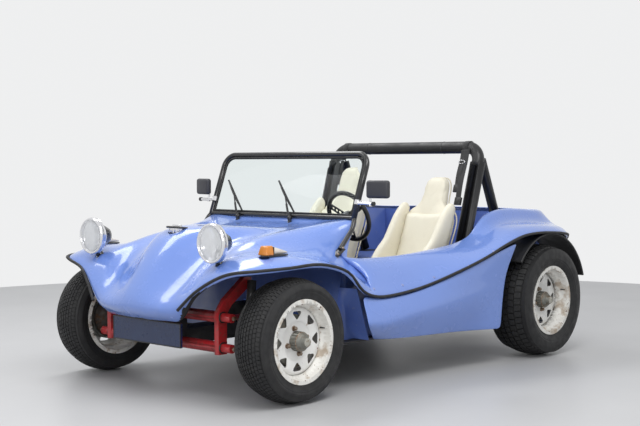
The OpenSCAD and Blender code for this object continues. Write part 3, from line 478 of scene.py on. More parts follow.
def tread(name, middle, radius, half, pitches, rows, deep, mat):
    """A tyre's tread belt: one pitch of slanted blocks, copied right round"""
    step = math.tau / pitches
    rungs = 6
    crown_drop = 0.018
    flat = drawn("grid", name, mat, x_subdivisions=len(rows) * 2, y_subdivisions=rungs, size=1)
    columns = len(rows) * 2
    place = []
    for v in flat.data.vertices:
        place.append((round((v.co.x + 0.5) * columns), round((v.co.y + 0.5) * rungs)))
    edges = []
    left = -half
    for wide, gap in rows:
        edges.append(left)
        edges.append(left + wide)
        left += wide + gap
    edges.append(left)
    for v, (i, j) in zip(flat.data.vertices, place):
        row = min(i // 2, len(rows) - 1)
        lean = 0.5 * (1 if row % 2 else -1) * (abs(i % 2) - 0.5)
        v.co = (edges[min(i, columns)], (j + 0.9 * lean) / rungs, 0)
    picked(flat, lambda c, n: False)
    bpy.ops.object.mode_set(mode="OBJECT")
    for f in flat.data.polygons:
        i = min(place[k][0] for k in f.vertices)
        j = min(place[k][1] for k in f.vertices)
        shift = 2 * ((i // 2) % 3)
        f.select = i % 2 == 0 and (j + shift) % rungs != rungs - 1
    bpy.ops.object.mode_set(mode="EDIT")
    bpy.ops.mesh.extrude_region_move(TRANSFORM_OT_translate={"value": (0, 0, deep)})
    bpy.ops.transform.resize(value=(0.94, 1.0, 1), center_override=(0, 0.5, 0))
    bpy.ops.object.mode_set(mode="OBJECT")
    whole = []
    for v in flat.data.vertices:
        across, along, up = v.co
        crown = radius - deep - crown_drop * (across / half) ** 2
        a = along * step
        whole.append((across, -(crown + up) * math.sin(a), (crown + up) * math.cos(a)))
    for v, p in zip(flat.data.vertices, whole):
        v.co = p
    rings = [flat]
    while len(rings) < pitches:
        o = flat.copy()
        o.data = flat.data.copy()
        bpy.context.scene.collection.objects.link(o)
        o.rotation_euler.x = step * len(rings)
        rings.append(o)
    belt = put_together(name, rings)
    baked()
    bpy.ops.object.mode_set(mode="EDIT")
    bpy.ops.mesh.select_all(action="SELECT")
    bpy.ops.mesh.remove_doubles(threshold=0.0002)
    bpy.ops.mesh.normals_make_consistent(inside=False)
    bpy.ops.object.mode_set(mode="OBJECT")
    belt.data.transform(Matrix.Translation(middle))
    return belt


def carcass(name, middle, outline, mat):
    """A tyre's flanks and inside: a profile of (across, radius) spun about the axle"""
    o = drawn("circle", name, mat, vertices=len(outline), radius=1)
    for v, (x, r) in zip(o.data.vertices, outline):
        v.co = (x, 0, r)
    bpy.ops.object.mode_set(mode="EDIT")
    bpy.ops.mesh.select_all(action="SELECT")
    bpy.ops.mesh.spin(steps=96, angle=math.tau, center=(0, 0, 0), axis=(1, 0, 0))
    bpy.ops.mesh.select_all(action="SELECT")
    bpy.ops.mesh.remove_doubles(threshold=0.0001)
    bpy.ops.mesh.normals_make_consistent(inside=False)
    bpy.ops.transform.translate(value=middle)
    bpy.ops.object.mode_set(mode="OBJECT")
    return o


# Radii of the bolts' circle and of the sleeve; how far each disc's face stands out
# from the tyre's middle; and the radii where the barrel and the tyre's bead begin.
bolt_circle, first_bolt = 0.065, 15
sleeve, hub_ribs = 0.0465, 16
disc_face = {"front": 0.038, "rear": 0.0315}
barrel_from = 0.166
bead_seat = 0.1905
axle_front = (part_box("tyre_front_left")[0][1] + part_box("tyre_front_left")[1][1]) / 2
axle_rear = (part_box("tyre_rear_left")[0][1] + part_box("tyre_rear_left")[1][1]) / 2
for end, y, pitches, deep, rows in (
    ("front", axle_front, 84, 0.0065, ((0.0175, 0.005), *((0.0145, 0.0055),) * 6, (0.0175, 0.0))),
    ("rear", axle_rear, 54, 0.009, ((0.034, 0.008), (0.034, 0.010), (0.030, 0.010), (0.034, 0.008),
                                    (0.034, 0.0))),
):
    for side, s in (("left", 1), ("right", -1)):
        low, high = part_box("tyre_" + end + "_" + side)
        middle = ((low[0] + high[0]) / 2, y, (low[2] + high[2]) / 2)
        radius = (high[2] - low[2]) / 2
        half = (high[0] - low[0]) / 2
        belt_half = sum(a + b for a, b in rows) / 2
        belt = tread("tread", middle, radius, belt_half, pitches, rows, deep, tyre_rubber)
        foot, bead = bead_seat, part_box("wheel_" + end + "_" + side)
        bead = (bead[1][0] - bead[0][0]) / 2 - 0.0045
        r = radius - deep
        ring = [
            (bead - 0.016, foot), (bead - 0.001, foot), (bead - 0.001, foot + 0.017),
            (bead + 0.004, foot + 0.021),
            (half - 0.010, foot + 0.038), (half - 0.004, foot + 0.050),
            (half - 0.0045, foot + 0.053),
            (half - 0.001, foot + 0.062), (half - 0.0018, foot + 0.0655),
            (half - 0.0005, (foot + r) / 2 + 0.012),
            (half - 0.004, r - 0.030), (half - 0.0055, r - 0.0275), (half - 0.010, r - 0.015),
            (belt_half + 0.004, r - 0.0115), (belt_half - 0.001, r - 0.0165),
        ]
        wall = carcass("flank", middle, ring + [(-x, q) for x, q in reversed(ring)], tyre_rubber)
        tyre = put_together("tyre_" + end + "_" + side + "_skin", [wall, belt])
        bpy.ops.object.shade_smooth_by_angle(angle=math.radians(28))
        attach(tyre, end + "_" + side + "_wheel")
        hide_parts("tyre_" + end + "_" + side)

        wheel = rounded_copy("wheel_" + end + "_" + side, wheel_white)
        wheel.data.materials.append(rim_rust)
        for f in wheel.data.polygons:
            out = ((f.center.y - middle[1]) ** 2 + (f.center.z - middle[2]) ** 2) ** 0.5
            f.material_index = 1 if out > barrel_from else 0
        drum = rounded_copy("drum_" + end + "_" + side, hub_grey)
        face = disc_face[end] * s + middle[0]
        bolts = []
        for k in range(4):
            a = math.radians(first_bolt + 90 * k)
            at = (face + 0.009 * s, middle[1] + bolt_circle * math.sin(a),
                  middle[2] - bolt_circle * math.cos(a))
            b = drawn("cylinder", "wheel_bolt", bare_bolt, vertices=6, radius=0.0105, depth=0.018,
                      location=at, rotation=ACROSS)
            picked(b, lambda c, n: n.z * s > 0.9)
            bpy.ops.mesh.inset(thickness=0.002)
            bpy.ops.mesh.extrude_region_move(TRANSFORM_OT_translate={"value": (0.002 * s, 0, 0)})
            bpy.ops.object.mode_set(mode="OBJECT")
            bolts.append(b)
            w = drawn("torus", "wheel_bolt_seat", bare_bolt,
                      location=(face + 0.0015 * s, at[1], at[2]),
                      rotation=ACROSS, major_radius=0.011, minor_radius=0.0028,
                      major_segments=24, minor_segments=8)
            bolts.append(w)
        for k in range(hub_ribs):
            a = math.tau * k / hub_ribs
            at = (face + 0.021 * s, middle[1] + sleeve * math.sin(a),
                  middle[2] + sleeve * math.cos(a))
            rib = block("hub_rib", hub_grey, at, (0.034, 0.0075, 0.005), turn=(-a, 0, 0))
            bolts.append(rib)
        bolts.append(drawn("torus", "hub_ring", bare_bolt,
                           location=(face + 0.0385 * s, middle[1], middle[2]),
                           rotation=ACROSS, major_radius=0.0445, minor_radius=0.0035,
                           major_segments=48, minor_segments=10))
        bolts.append(drawn("cylinder", "hub_cap_face", hub_pale, vertices=40, radius=0.0215,
                           depth=0.004,
                           location=(face + 0.0765 * s, middle[1], middle[2]), rotation=ACROSS))
        valve = drawn("cylinder", "tyre_valve", edge_rubber, vertices=12, radius=0.004, depth=0.03,
                      location=(middle[0] + s * (half - 0.045), middle[1] + 0.163,
                                middle[2] + 0.05),
                      rotation=ACROSS)
        picked(valve, lambda c, n: n.z * s > 0.9)
        bpy.ops.transform.resize(value=(0.7, 0.7, 0.7))
        bpy.ops.object.mode_set(mode="OBJECT")
        bolts.append(valve)
        settled(put_together("wheel_bolts_" + end + "_" + side, bolts), end + "_" + side + "_wheel",
                bevel=0.0008)

# ---- Headlamps ----
# Two round seven-inch lamps on short stalks: a black pressed bowl, a bright rim,
# a clear ribbed lens over a silvered dish, with the bulb's shade in the middle.


def waves(mat, scale, way, bend=0.0, kind="BANDS"):
    """Even ribs or rings over the piece's own coordinates"""
    tree = mat.node_tree
    place = tree.nodes.new("ShaderNodeTexCoord")
    ribs = tree.nodes.new("ShaderNodeTexWave")
    ribs.wave_type = kind
    if kind == "BANDS":
        ribs.bands_direction = way
    else:
        ribs.rings_direction = way
    ribs.inputs["Scale"].default_value = scale
    ribs.inputs["Distortion"].default_value = bend
    tree.links.new(place.outputs["Object"], ribs.inputs["Vector"])
    return ribs.outputs["Fac"]


black_enamel = finish("black_enamel", (0.010, 0.010, 0.011), 0.24, coat=0.4)
pitted(black_enamel, 30, 3, 0.0004, 0.25)
polish(black_enamel, 12, 4, 0.3, 0.75, 0.16, 0.42)
bright_chrome = finish("bright_chrome", (0.78, 0.78, 0.80), 0.08, metal=1.0)
polish(bright_chrome, 40, 5, 0.35, 0.8, 0.05, 0.28)
stain(bright_chrome, 90, 5, 0.66, 0.72, (0.35, 0.30, 0.25), 0.6)
lamp_dish = finish("lamp_dish", (0.96, 0.965, 0.97), 0.25, metal=0.4)
pitted(lamp_dish, 12, 2, 0.002, 0.5)
lens_glass = finish("lens_glass", (0.97, 0.985, 1.0), 0.05)
lens_skin = lens_glass.node_tree.nodes["Principled BSDF"]
lens_skin.inputs["Alpha"].default_value = 0.34
lens_skin.inputs["IOR"].default_value = 1.4
relief(lens_glass, waves(lens_glass, 34, "X"), 0.0016, 0.7)

bowls = rounded_copy("headlamps", black_enamel, 40)
bowls.data.materials.append(bright_chrome)
low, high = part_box("headlamp_lenses")
lamp_x = 0.474
reflector_r = 0.083
lamp_z = (low[2] + high[2]) / 2
lamp_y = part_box("headlamps")[0][1]
for f in bowls.data.polygons:
    f.material_index = 1 if f.center.y < lamp_y + 0.03 else 0
lamp_trim = []
lamp_glass = []
for s in (1, -1):
    rim = drawn("torus", "lamp_rim", bright_chrome, location=(s * lamp_x, lamp_y + 0.011, lamp_z),
                rotation=ENDWISE, major_radius=0.0885, minor_radius=0.0100,
                major_segments=72, minor_segments=14)
    lamp_trim.append(rim)
    band = drawn("cylinder", "lamp_band", bright_chrome, vertices=72, radius=0.0975, depth=0.02,
                 end_fill_type="NOTHING",
                 location=(s * lamp_x, lamp_y + 0.021, lamp_z), rotation=ENDWISE)
    applied(band, "SOLIDIFY", thickness=0.002, offset=-1)
    lamp_trim.append(band)
    dish = drawn("uv_sphere", "lamp_dish", lamp_dish, segments=56, ring_count=28,
                 radius=reflector_r,
                 location=(s * lamp_x, lamp_y + 0.012, lamp_z))
    picked(dish, lambda c, n: c.y < 0.0)
    bpy.ops.mesh.delete(type="FACE")
    bpy.ops.mesh.select_all(action="SELECT")
    bpy.ops.transform.resize(value=(1, 0.62, 1))
    bpy.ops.mesh.flip_normals()
    bpy.ops.object.mode_set(mode="OBJECT")
    applied(dish, "SOLIDIFY", thickness=0.0012, offset=1)
    lamp_trim.append(dish)
    bulb = drawn("uv_sphere", "lamp_shade", bright_chrome, segments=24, ring_count=12, radius=0.014,
                 location=(s * lamp_x, lamp_y + 0.022, lamp_z))
    lamp_trim.append(bulb)
    screw = drawn("cylinder", "lamp_screw", bright_chrome, vertices=16, radius=0.0045, depth=0.01,
                  location=(s * lamp_x, lamp_y + 0.004, lamp_z - 0.0915), rotation=ENDWISE)
    lamp_trim.append(screw)
    foot = drawn("cone", "lamp_foot", black_enamel, vertices=32, radius1=0.026, radius2=0.015,
                 depth=0.018,
                 location=(s * lamp_x, lamp_y + 0.058, lamp_z - 0.088))
    lamp_trim.append(foot)
    lens = drawn("uv_sphere", "lamp_lens", lens_glass, segments=64, ring_count=48, radius=0.20,
                 location=(s * lamp_x, lamp_y + 0.183, lamp_z), rotation=ENDWISE)
    picked(lens, lambda c, n: (c.x ** 2 + c.y ** 2) ** 0.5 > reflector_r or c.z < 0)
    bpy.ops.mesh.delete(type="FACE")
    bpy.ops.object.mode_set(mode="OBJECT")
    applied(lens, "SOLIDIFY", thickness=0.003, offset=-1)
    lamp_glass.append(lens)
settled(put_together("lamp_rims", lamp_trim), angle=50)
lenses = settled(put_together("headlamp_lenses_skin", lamp_glass), angle=60)
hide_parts("headlamp_lenses")

# ---- Front flashers ----
# Lamps on the wing tops: a ribbed amber lens in front, a cream tail that runs out
# to a point behind it, and a thin dark foot.
amber = finish("amber_lens", (0.90, 0.30, 0.02), 0.12, coat=0.6)
amber.node_tree.nodes["Principled BSDF"].inputs["Transmission Weight"].default_value = 0.25
relief(amber, waves(amber, 60, "Z"), 0.001, 0.5)
flasher_tail = finish("flasher_tail", (0.74, 0.68, 0.60), 0.25, coat=0.5)
stain(flasher_tail, 60, 4, 0.5, 0.7, (0.5, 0.42, 0.34), 0.5)
pitted(flasher_tail, 90, 2, 0.0003, 0.3)
flasher_base = finish("flasher_base", (0.03, 0.03, 0.032), 0.5)
pitted(flasher_base, 200, 2, 0.0003, 0.4)
flashers = []
for s in (1, -1):
    x, y, z = 0.664 * s, -1.222, 0.722
    lens = block("flasher_lens", amber, (x, y - 0.046, z + 0.024), (0.062, 0.056, 0.046))
    baked(False, False)
    for v in lens.data.vertices:
        if v.co.z > 0:
            v.co.x *= 0.74
            v.co.y += 0.012 if v.co.y < 0 else 0
    applied(lens, "BEVEL", width=0.007, segments=4, limit_method="NONE")
    tail = drawn("cone", "flasher_tail", flasher_tail, vertices=56, radius1=0.0295, radius2=0.004,
                 depth=0.118,
                 location=(x, y + 0.040, z + 0.021), rotation=(math.radians(-90), 0, 0))
    bpy.ops.object.transform_apply(location=False, rotation=True, scale=True)
    applied(tail, "BEVEL", width=0.003, segments=3, limit_method="ANGLE",
            angle_limit=math.radians(50))
    for v in tail.data.vertices:
        slope = (v.co.y + 0.059) / 0.118
        v.co.z = max(v.co.z * 0.86 - 0.012 * slope, -0.020)
    seam = block("flasher_seam", flasher_base, (x, y - 0.0185, z + 0.020), (0.058, 0.003, 0.042))
    foot = drawn("cylinder", "flasher_foot", flasher_base, vertices=48, radius=1, depth=1,
                 location=(x, y + 0.012, z - 0.002))
    foot.scale = (0.033, 0.090, 0.007)
    flashers += [lens, tail, seam, foot]
flashers = settled(put_together("front_flashers", flashers), angle=50,
                   bevel=0.0008)
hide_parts("front_indicators")

# ---- Fuel filler cap ----
# A round chromed cap on the middle of the bonnet, with a raised grip bar across it,
# screwed down on the tank's neck over a black flange.
fuel = rounded_copy("fuel_cap", bright_chrome)
low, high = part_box("fuel_cap")
cap_at = ((low[0] + high[0]) / 2, (low[1] + high[1]) / 2, high[2])
grip = block("fuel_cap_grip", bright_chrome, (cap_at[0], cap_at[1], cap_at[2] + 0.004),
             (0.062, 0.016, 0.018))
flange = drawn("torus", "fuel_cap_flange", black_enamel, location=(cap_at[0], cap_at[1], 0.8335),
               rotation=(math.radians(-6), 0, 0),
               major_radius=0.052, minor_radius=0.006, major_segments=56, minor_segments=10)
settled(put_together("fuel_cap_trim", [grip, flange]), bevel=0.005, parts=3)

# ---- Windscreen ----
# One flat pane in a black tube frame with a rubber channel all round, held to the
# body by two bolted feet that run down the sides of the scuttle.
screen = rounded_copy("windscreen_frame", black_enamel, 40)
pane = finish("screen_glass", (0.90, 0.955, 0.95), 0.0)
pane_skin = pane.node_tree.nodes["Principled BSDF"]
pane_skin.inputs["Transmission Weight"].default_value = 1.0
pane_skin.inputs["IOR"].default_value = 1.02
pane_skin.inputs["Coat Weight"].default_value = 0.12
pitted(pane, 3, 1, 0.0006, 0.1)
glass = rounded_copy("windscreen_glass", pane, 40)

# The pane leans back from the middle of its bottom rail.
screen_rake = math.radians(20.5)
rail_y, rail_z = -0.5075, 0.872
rake_sin, rake_cos = 0.3502, 0.9367


def on_screen(x, up, out=0.0):
    """A point on the windscreen's plane: across, up the slope, out in front"""
    return (x, rail_y + rake_sin * up - rake_cos * out,
            rail_z + rake_cos * up + rake_sin * out)


corner = 0.056
loop = [(-0.541, 0.016), (0.541, 0.016), (0.541, 0.345 - corner)]
loop += [(0.541 - corner + corner * math.cos(a),
          0.345 - corner + corner * math.sin(a)) for a in (0.4, 0.8, 1.2)]
loop += [(0.541 - corner, 0.345), (-0.541 + corner, 0.345)]
loop += [(-0.541 + corner - corner * math.sin(a),
          0.345 - corner + corner * math.cos(a)) for a in (0.4, 0.8, 1.2)]
loop += [(-0.541, 0.345 - corner), (-0.541, 0.016)]
settled(hose("screen_seal", [on_screen(x, up, 0.001) for x, up in loop], 0.0075, edge_rubber,
             steps=1))
leg_line = [on_screen(0.563, 0.02), on_screen(0.563, 0.0), (0.574, -0.521, 0.850),
            (0.583, -0.549, 0.812),
            (0.590, -0.588, 0.780), (0.597, -0.632, 0.744), (0.602, -0.664, 0.716)]
feet = []
for points in (leg_line, mirrored(leg_line)):
    s = 1 if points[0][0] > 0 else -1
    feet.append(hose("screen_leg", points, 0.0135, black_enamel, steps=5))
    plate = block("screen_foot", black_enamel, (s * 0.603, -0.676, 0.702), (0.046, 0.066, 0.006),
                  (math.radians(38), math.radians(s * 12), 0))
    feet.append(plate)
    for y, z in ((-0.694, 0.692), (-0.655, 0.722)):
        feet.append(drawn("uv_sphere", "screen_bolt", bare_bolt, segments=16, ring_count=8,
                          radius=0.008,
                          location=(s * 0.614, y, z)))
settled(put_together("screen_feet", feet), bevel=0.002)

# ---- Wipers ----
# Two short black wipers on the scuttle: a domed spindle cap, a sprung arm, and a
# rubber blade held by small claws.
wiper_black = finish("wiper_black", (0.014, 0.014, 0.015), 0.38)
pitted(wiper_black, 200, 2, 0.0002, 0.4)
stain(wiper_black, 60, 4, 0.6, 0.75, (0.08, 0.08, 0.085), 0.5)
wipers = []
for x in (-0.310, 0.110):
    pivot = Vector((x, -0.5335, 0.860))
    cap = drawn("uv_sphere", "wiper_cap", wiper_black, segments=24, ring_count=12, radius=0.014,
                location=pivot)
    spindle = drawn("cylinder", "wiper_spindle", wiper_black, vertices=24, radius=0.011,
                    depth=0.036,
                    location=(x, pivot.y, 0.842))
    collar = drawn("cylinder", "wiper_collar", bright_chrome, vertices=24, radius=0.016,
                   depth=0.008,
                   location=(x, pivot.y, 0.828))
    wipers += [cap, spindle, collar]

    def along(share, out):
        """A point on this wiper's blade, so far out from the glass"""
        return Vector(on_screen(x + 0.008 - 0.180 * share, 0.020 + 0.183 * share, out))

    knee = Vector(on_screen(x - 0.050, 0.060, 0.022))
    for name, line, r in (
        ("wiper_arm", [pivot, pivot.lerp(knee, 0.5) + Vector((0, -0.004, 0.003)), knee], 0.0062),
        ("wiper_rod", [knee, along(0.46, 0.021), along(0.50, 0.019)], 0.0040),
        ("wiper_bow", [along(0.20, 0.014), along(0.30, 0.018), along(0.50, 0.0205),
                       along(0.70, 0.018), along(0.80, 0.014)], 0.0044),
        ("wiper_claw", [along(0.03, 0.010), along(0.20, 0.0145), along(0.38, 0.010)], 0.0034),
        ("wiper_claw", [along(0.62, 0.010), along(0.80, 0.0145), along(0.97, 0.010)], 0.0034),
        ("wiper_rubber", [along(0.0, 0.0075), along(0.5, 0.0075), along(1.0, 0.0075)], 0.0052),
    ):
        wipers.append(hose(name, line, r, edge_rubber if name == "wiper_rubber" else wiper_black))
wipers = settled(put_together("wipers_skin", wipers), angle=50)
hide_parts("wipers")

# ---- Door mirrors ----
# Square black mirrors with rounded corners on bright arms clamped to the frame.
# The case is grained plastic, with silvered glass let into the side the driver sees.
mirror_black = finish("mirror_black", (0.035, 0.035, 0.042), 0.42)
pitted(mirror_black, 380, 2, 0.0003, 0.5)
polish(mirror_black, 8, 3, 0.3, 0.7, 0.35, 0.52)
mirror_face = finish("mirror_face", (0.86, 0.88, 0.90), 0.03, metal=1.0)
pitted(mirror_face, 4, 1, 0.0004, 0.1)
mirrors = []
for s, across, stem_x in ((1, 0.710, 0.660), (-1, -0.660, -0.610)):
    case = block("mirror_case", mirror_black, (across, -0.4825, 1.0265), (0.136, 0.034, 0.095),
                 (0, 0, math.radians(12 * s)))
    baked(False, False)
    applied(case, "BEVEL", width=0.0155, segments=5, limit_method="NONE")
    picked(case, lambda c, n: n.y > 0.95 and abs(c.x) < 0.056)
    bpy.ops.mesh.inset(thickness=0.004)
    bpy.ops.mesh.extrude_region_move(TRANSFORM_OT_translate={"value": (0, -0.004, 0)})
    bpy.ops.object.mode_set(mode="OBJECT")
    case.data.materials.append(mirror_face)
    for f in case.data.polygons:
        if f.normal.y > 0.95 and f.center.y < 0.0145 and abs(f.center.x) < 0.054 and f.area > 0.002:
            f.material_index = 1
    stem = drawn("cylinder", "mirror_stem", bright_chrome, vertices=32, radius=0.007, depth=0.050,
                 location=(stem_x, -0.4860, 0.971))
    rod = drawn("cylinder", "mirror_rod", bright_chrome, vertices=32, radius=0.0088, depth=0.100,
                location=(s * 0.628, -0.4875, 0.950), rotation=ACROSS)
    end = drawn("cylinder", "mirror_cap", wiper_black, vertices=32, radius=0.0115, depth=0.014,
                location=(s * 0.681, -0.4875, 0.950), rotation=ACROSS)
    clamp = drawn("cylinder", "mirror_clamp", bright_chrome, vertices=40, radius=0.0195,
                  depth=0.026,
                  location=on_screen(s * 0.563, 0.086), rotation=(-screen_rake, 0, 0))
    nut = drawn("cylinder", "mirror_nut", bright_chrome, vertices=6, radius=0.011, depth=0.008,
                location=(stem_x, -0.4875, 0.9405))
    mirrors += [case, stem, rod, end, clamp, nut]
mirrors = settled(put_together("mirrors_skin", mirrors), angle=50)
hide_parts("mirrors")

# ---- Roll bar ----
# A steel hoop: one thick top tube in black foam and tape, two tubes down each side,
# and a brace behind. The foam is wrapped, so fine turns of tape show round it.
padding = finish("bar_padding", (0.011, 0.011, 0.012), 0.42)
relief(padding, level(padding, waves(padding, 9, "X", 0.8), 0.86, 0.98), 0.0010, 0.30)
pitted(padding, 26, 3, 0.0012, 0.35)
polish(padding, 14, 4, 0.3, 0.75, 0.32, 0.56)
stain(padding, 40, 4, 0.55, 0.8, (0.030, 0.030, 0.033), 0.4)
hoop = rounded_copy("roll_bar", padding, 40)

# Straps hold the padding at each bend.
bar_y = 0.6425
bar_bits = []
for s in (1, -1):
    for x in (0.468, 0.30):
        ring = drawn("torus", "padding_strap", wiper_black, location=(s * x, bar_y, 1.257),
                     rotation=ACROSS,
                     major_radius=0.0365, minor_radius=0.0022, major_segments=48, minor_segments=6)
        bar_bits.append(ring)
settled(put_together("roll_bar_straps", bar_bits))

# ---- Seat belts ----
# Black webbing hangs from the roll bar beside each seat, doubled through a bright
# buckle slide, with a plastic tongue at its end.
webbing = finish("belt_webbing", (0.012, 0.012, 0.013), 0.75)
relief(webbing, waves(webbing, 160, "DIAGONAL"), 0.0006, 0.7)
webbing.node_tree.nodes["Principled BSDF"].inputs["Sheen Weight"].default_value = 0.3
stain(webbing, 30, 3, 0.5, 0.8, (0.03, 0.03, 0.033), 0.5)
belts = []
for s in (1, -1):
    x = s * 0.478
    for strip_x, drop, proud in ((x, 0.225, 0.0), (x + s * 0.026, 0.300, 0.004)):
        strap = drawn("grid", "belt", webbing, x_subdivisions=6, y_subdivisions=26, size=1,
                      location=(0, 0, 0))
        for v in strap.data.vertices:
            across, t = v.co.x, 0.5 - v.co.y
            v.co = (strip_x + across * 0.040,
                    bar_y - 0.041 - proud - 0.3155 * t * drop + 0.004 * math.sin(t * 7),
                    1.245 - t * drop + 0.004 * math.sin(across * 3))
        applied(strap, "SOLIDIFY", thickness=0.0014, offset=0)
        belts.append(strap)
        tongue = block("belt_tongue", wiper_black,
                       (strip_x, bar_y - 0.042 - 0.3155 * drop, 1.245 - drop - 0.010),
                       (0.046, 0.013, 0.046), turn=(math.radians(-17.5), 0, 0))
        belts.append(tongue)
    turn = drawn("torus", "belt_loop", webbing, location=(x + s * 0.006, bar_y, 1.257),
                 rotation=ACROSS,
                 major_radius=0.0385, minor_radius=0.0016, major_segments=48, minor_segments=6)
    turn.scale = (1, 1, 14)
    slide = drawn("torus", "belt_slide", bright_chrome, location=(x, bar_y - 0.066, 1.170),
                  rotation=(math.radians(72), 0, 0), major_radius=0.018, minor_radius=0.0022,
                  major_segments=24, minor_segments=8)
    slide.scale = (1.3, 0.6, 1)
    belts += [turn, slide]
belts = settled(put_together("seat_belts_skin", belts), bevel=0.0012)
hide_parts("seat_belts")

# ---- Seats ----
# Two high-backed bucket seats in cream leathercloth: a crowned cushion with side
# rolls, and a back whose sides curve in to a headrest, with a welted seam.
cream_leather = finish("cream_leather", (0.80, 0.755, 0.62), 0.48)
creases = grain(cream_leather, 7, 5)
tint(cream_leather, level(cream_leather, creases, 0.5, 0.8, 0, 0.45), (0.66, 0.60, 0.47))
stain(cream_leather, 22, 4, 0.6, 0.8, (0.50, 0.44, 0.34), 0.25)
pores = cream_leather.node_tree.nodes.new("ShaderNodeTexVoronoi")
pores.inputs["Scale"].default_value = 420
pores_place = cream_leather.node_tree.nodes.new("ShaderNodeTexCoord")
cream_leather.node_tree.links.new(pores_place.outputs["Object"], pores.inputs["Vector"])
relief(cream_leather, pores.outputs["Distance"], 0.0005, 0.35)
pitted(cream_leather, 18, 4, 0.003, 0.35)
drives(cream_leather, level(cream_leather, creases, 0.3, 0.8, 0.38, 0.58), "Roughness")
cream_piping = finish("cream_piping", (0.62, 0.57, 0.45), 0.45)
pitted(cream_piping, 300, 2, 0.0003, 0.4)


def puffed(o, most, pressure=4.0, voxel=0.009, rounds=4):
    """Remeshes a pad, swells it as sewn cloth, and smooths it"""
    only(o)
    baked()
    applied(o, "REMESH", mode="VOXEL", voxel_size=voxel)
    before = [v.co.copy() for v in o.data.vertices]
    only(o)
    swell = o.modifiers.new("swell", "CLOTH")
    swell.settings.use_pressure = True
    swell.settings.uniform_pressure_force = pressure
    swell.settings.tension_stiffness = 12
    swell.settings.compression_stiffness = 12
    swell.settings.bending_stiffness = 1.2
    swell.settings.effector_weights.gravity = 0
    swell.point_cache.frame_start = 1
    swell.point_cache.frame_end = 20
    for f in range(1, 17):
        bpy.context.scene.frame_set(f)
    bpy.ops.object.modifier_apply(modifier="swell")
    bpy.context.scene.frame_set(1)
    for v, p in zip(o.data.vertices, before):
        move = v.co - p
        if move.length > most:
            v.co = p + move * (most / move.length)
    applied(o, "SMOOTH", factor=0.6, iterations=rounds)
    applied(o, "SUBSURF", levels=1, render_levels=1)
    only(o)
    bpy.ops.object.shade_smooth()
    return o


def outline_pad(name, outline, thick, mat):
    """A flat slab of padding with this outline in X and Z, its face towards -Y"""
    o = drawn("circle", name, mat, vertices=len(outline), radius=1, fill_type="NGON")
    for v, (x, z) in zip(o.data.vertices, outline):
        v.co = (x, 0, z)
    bpy.ops.object.mode_set(mode="EDIT")
    bpy.ops.mesh.select_all(action="SELECT")
    bpy.ops.mesh.extrude_region_move(TRANSFORM_OT_translate={"value": (0, thick, 0)})
    bpy.ops.mesh.select_all(action="SELECT")
    bpy.ops.mesh.normals_make_consistent(inside=False)
    bpy.ops.object.mode_set(mode="OBJECT")
    return o


fold = Vector((0.35, 0.2325, 0.450))
seat_lean = math.radians(22)
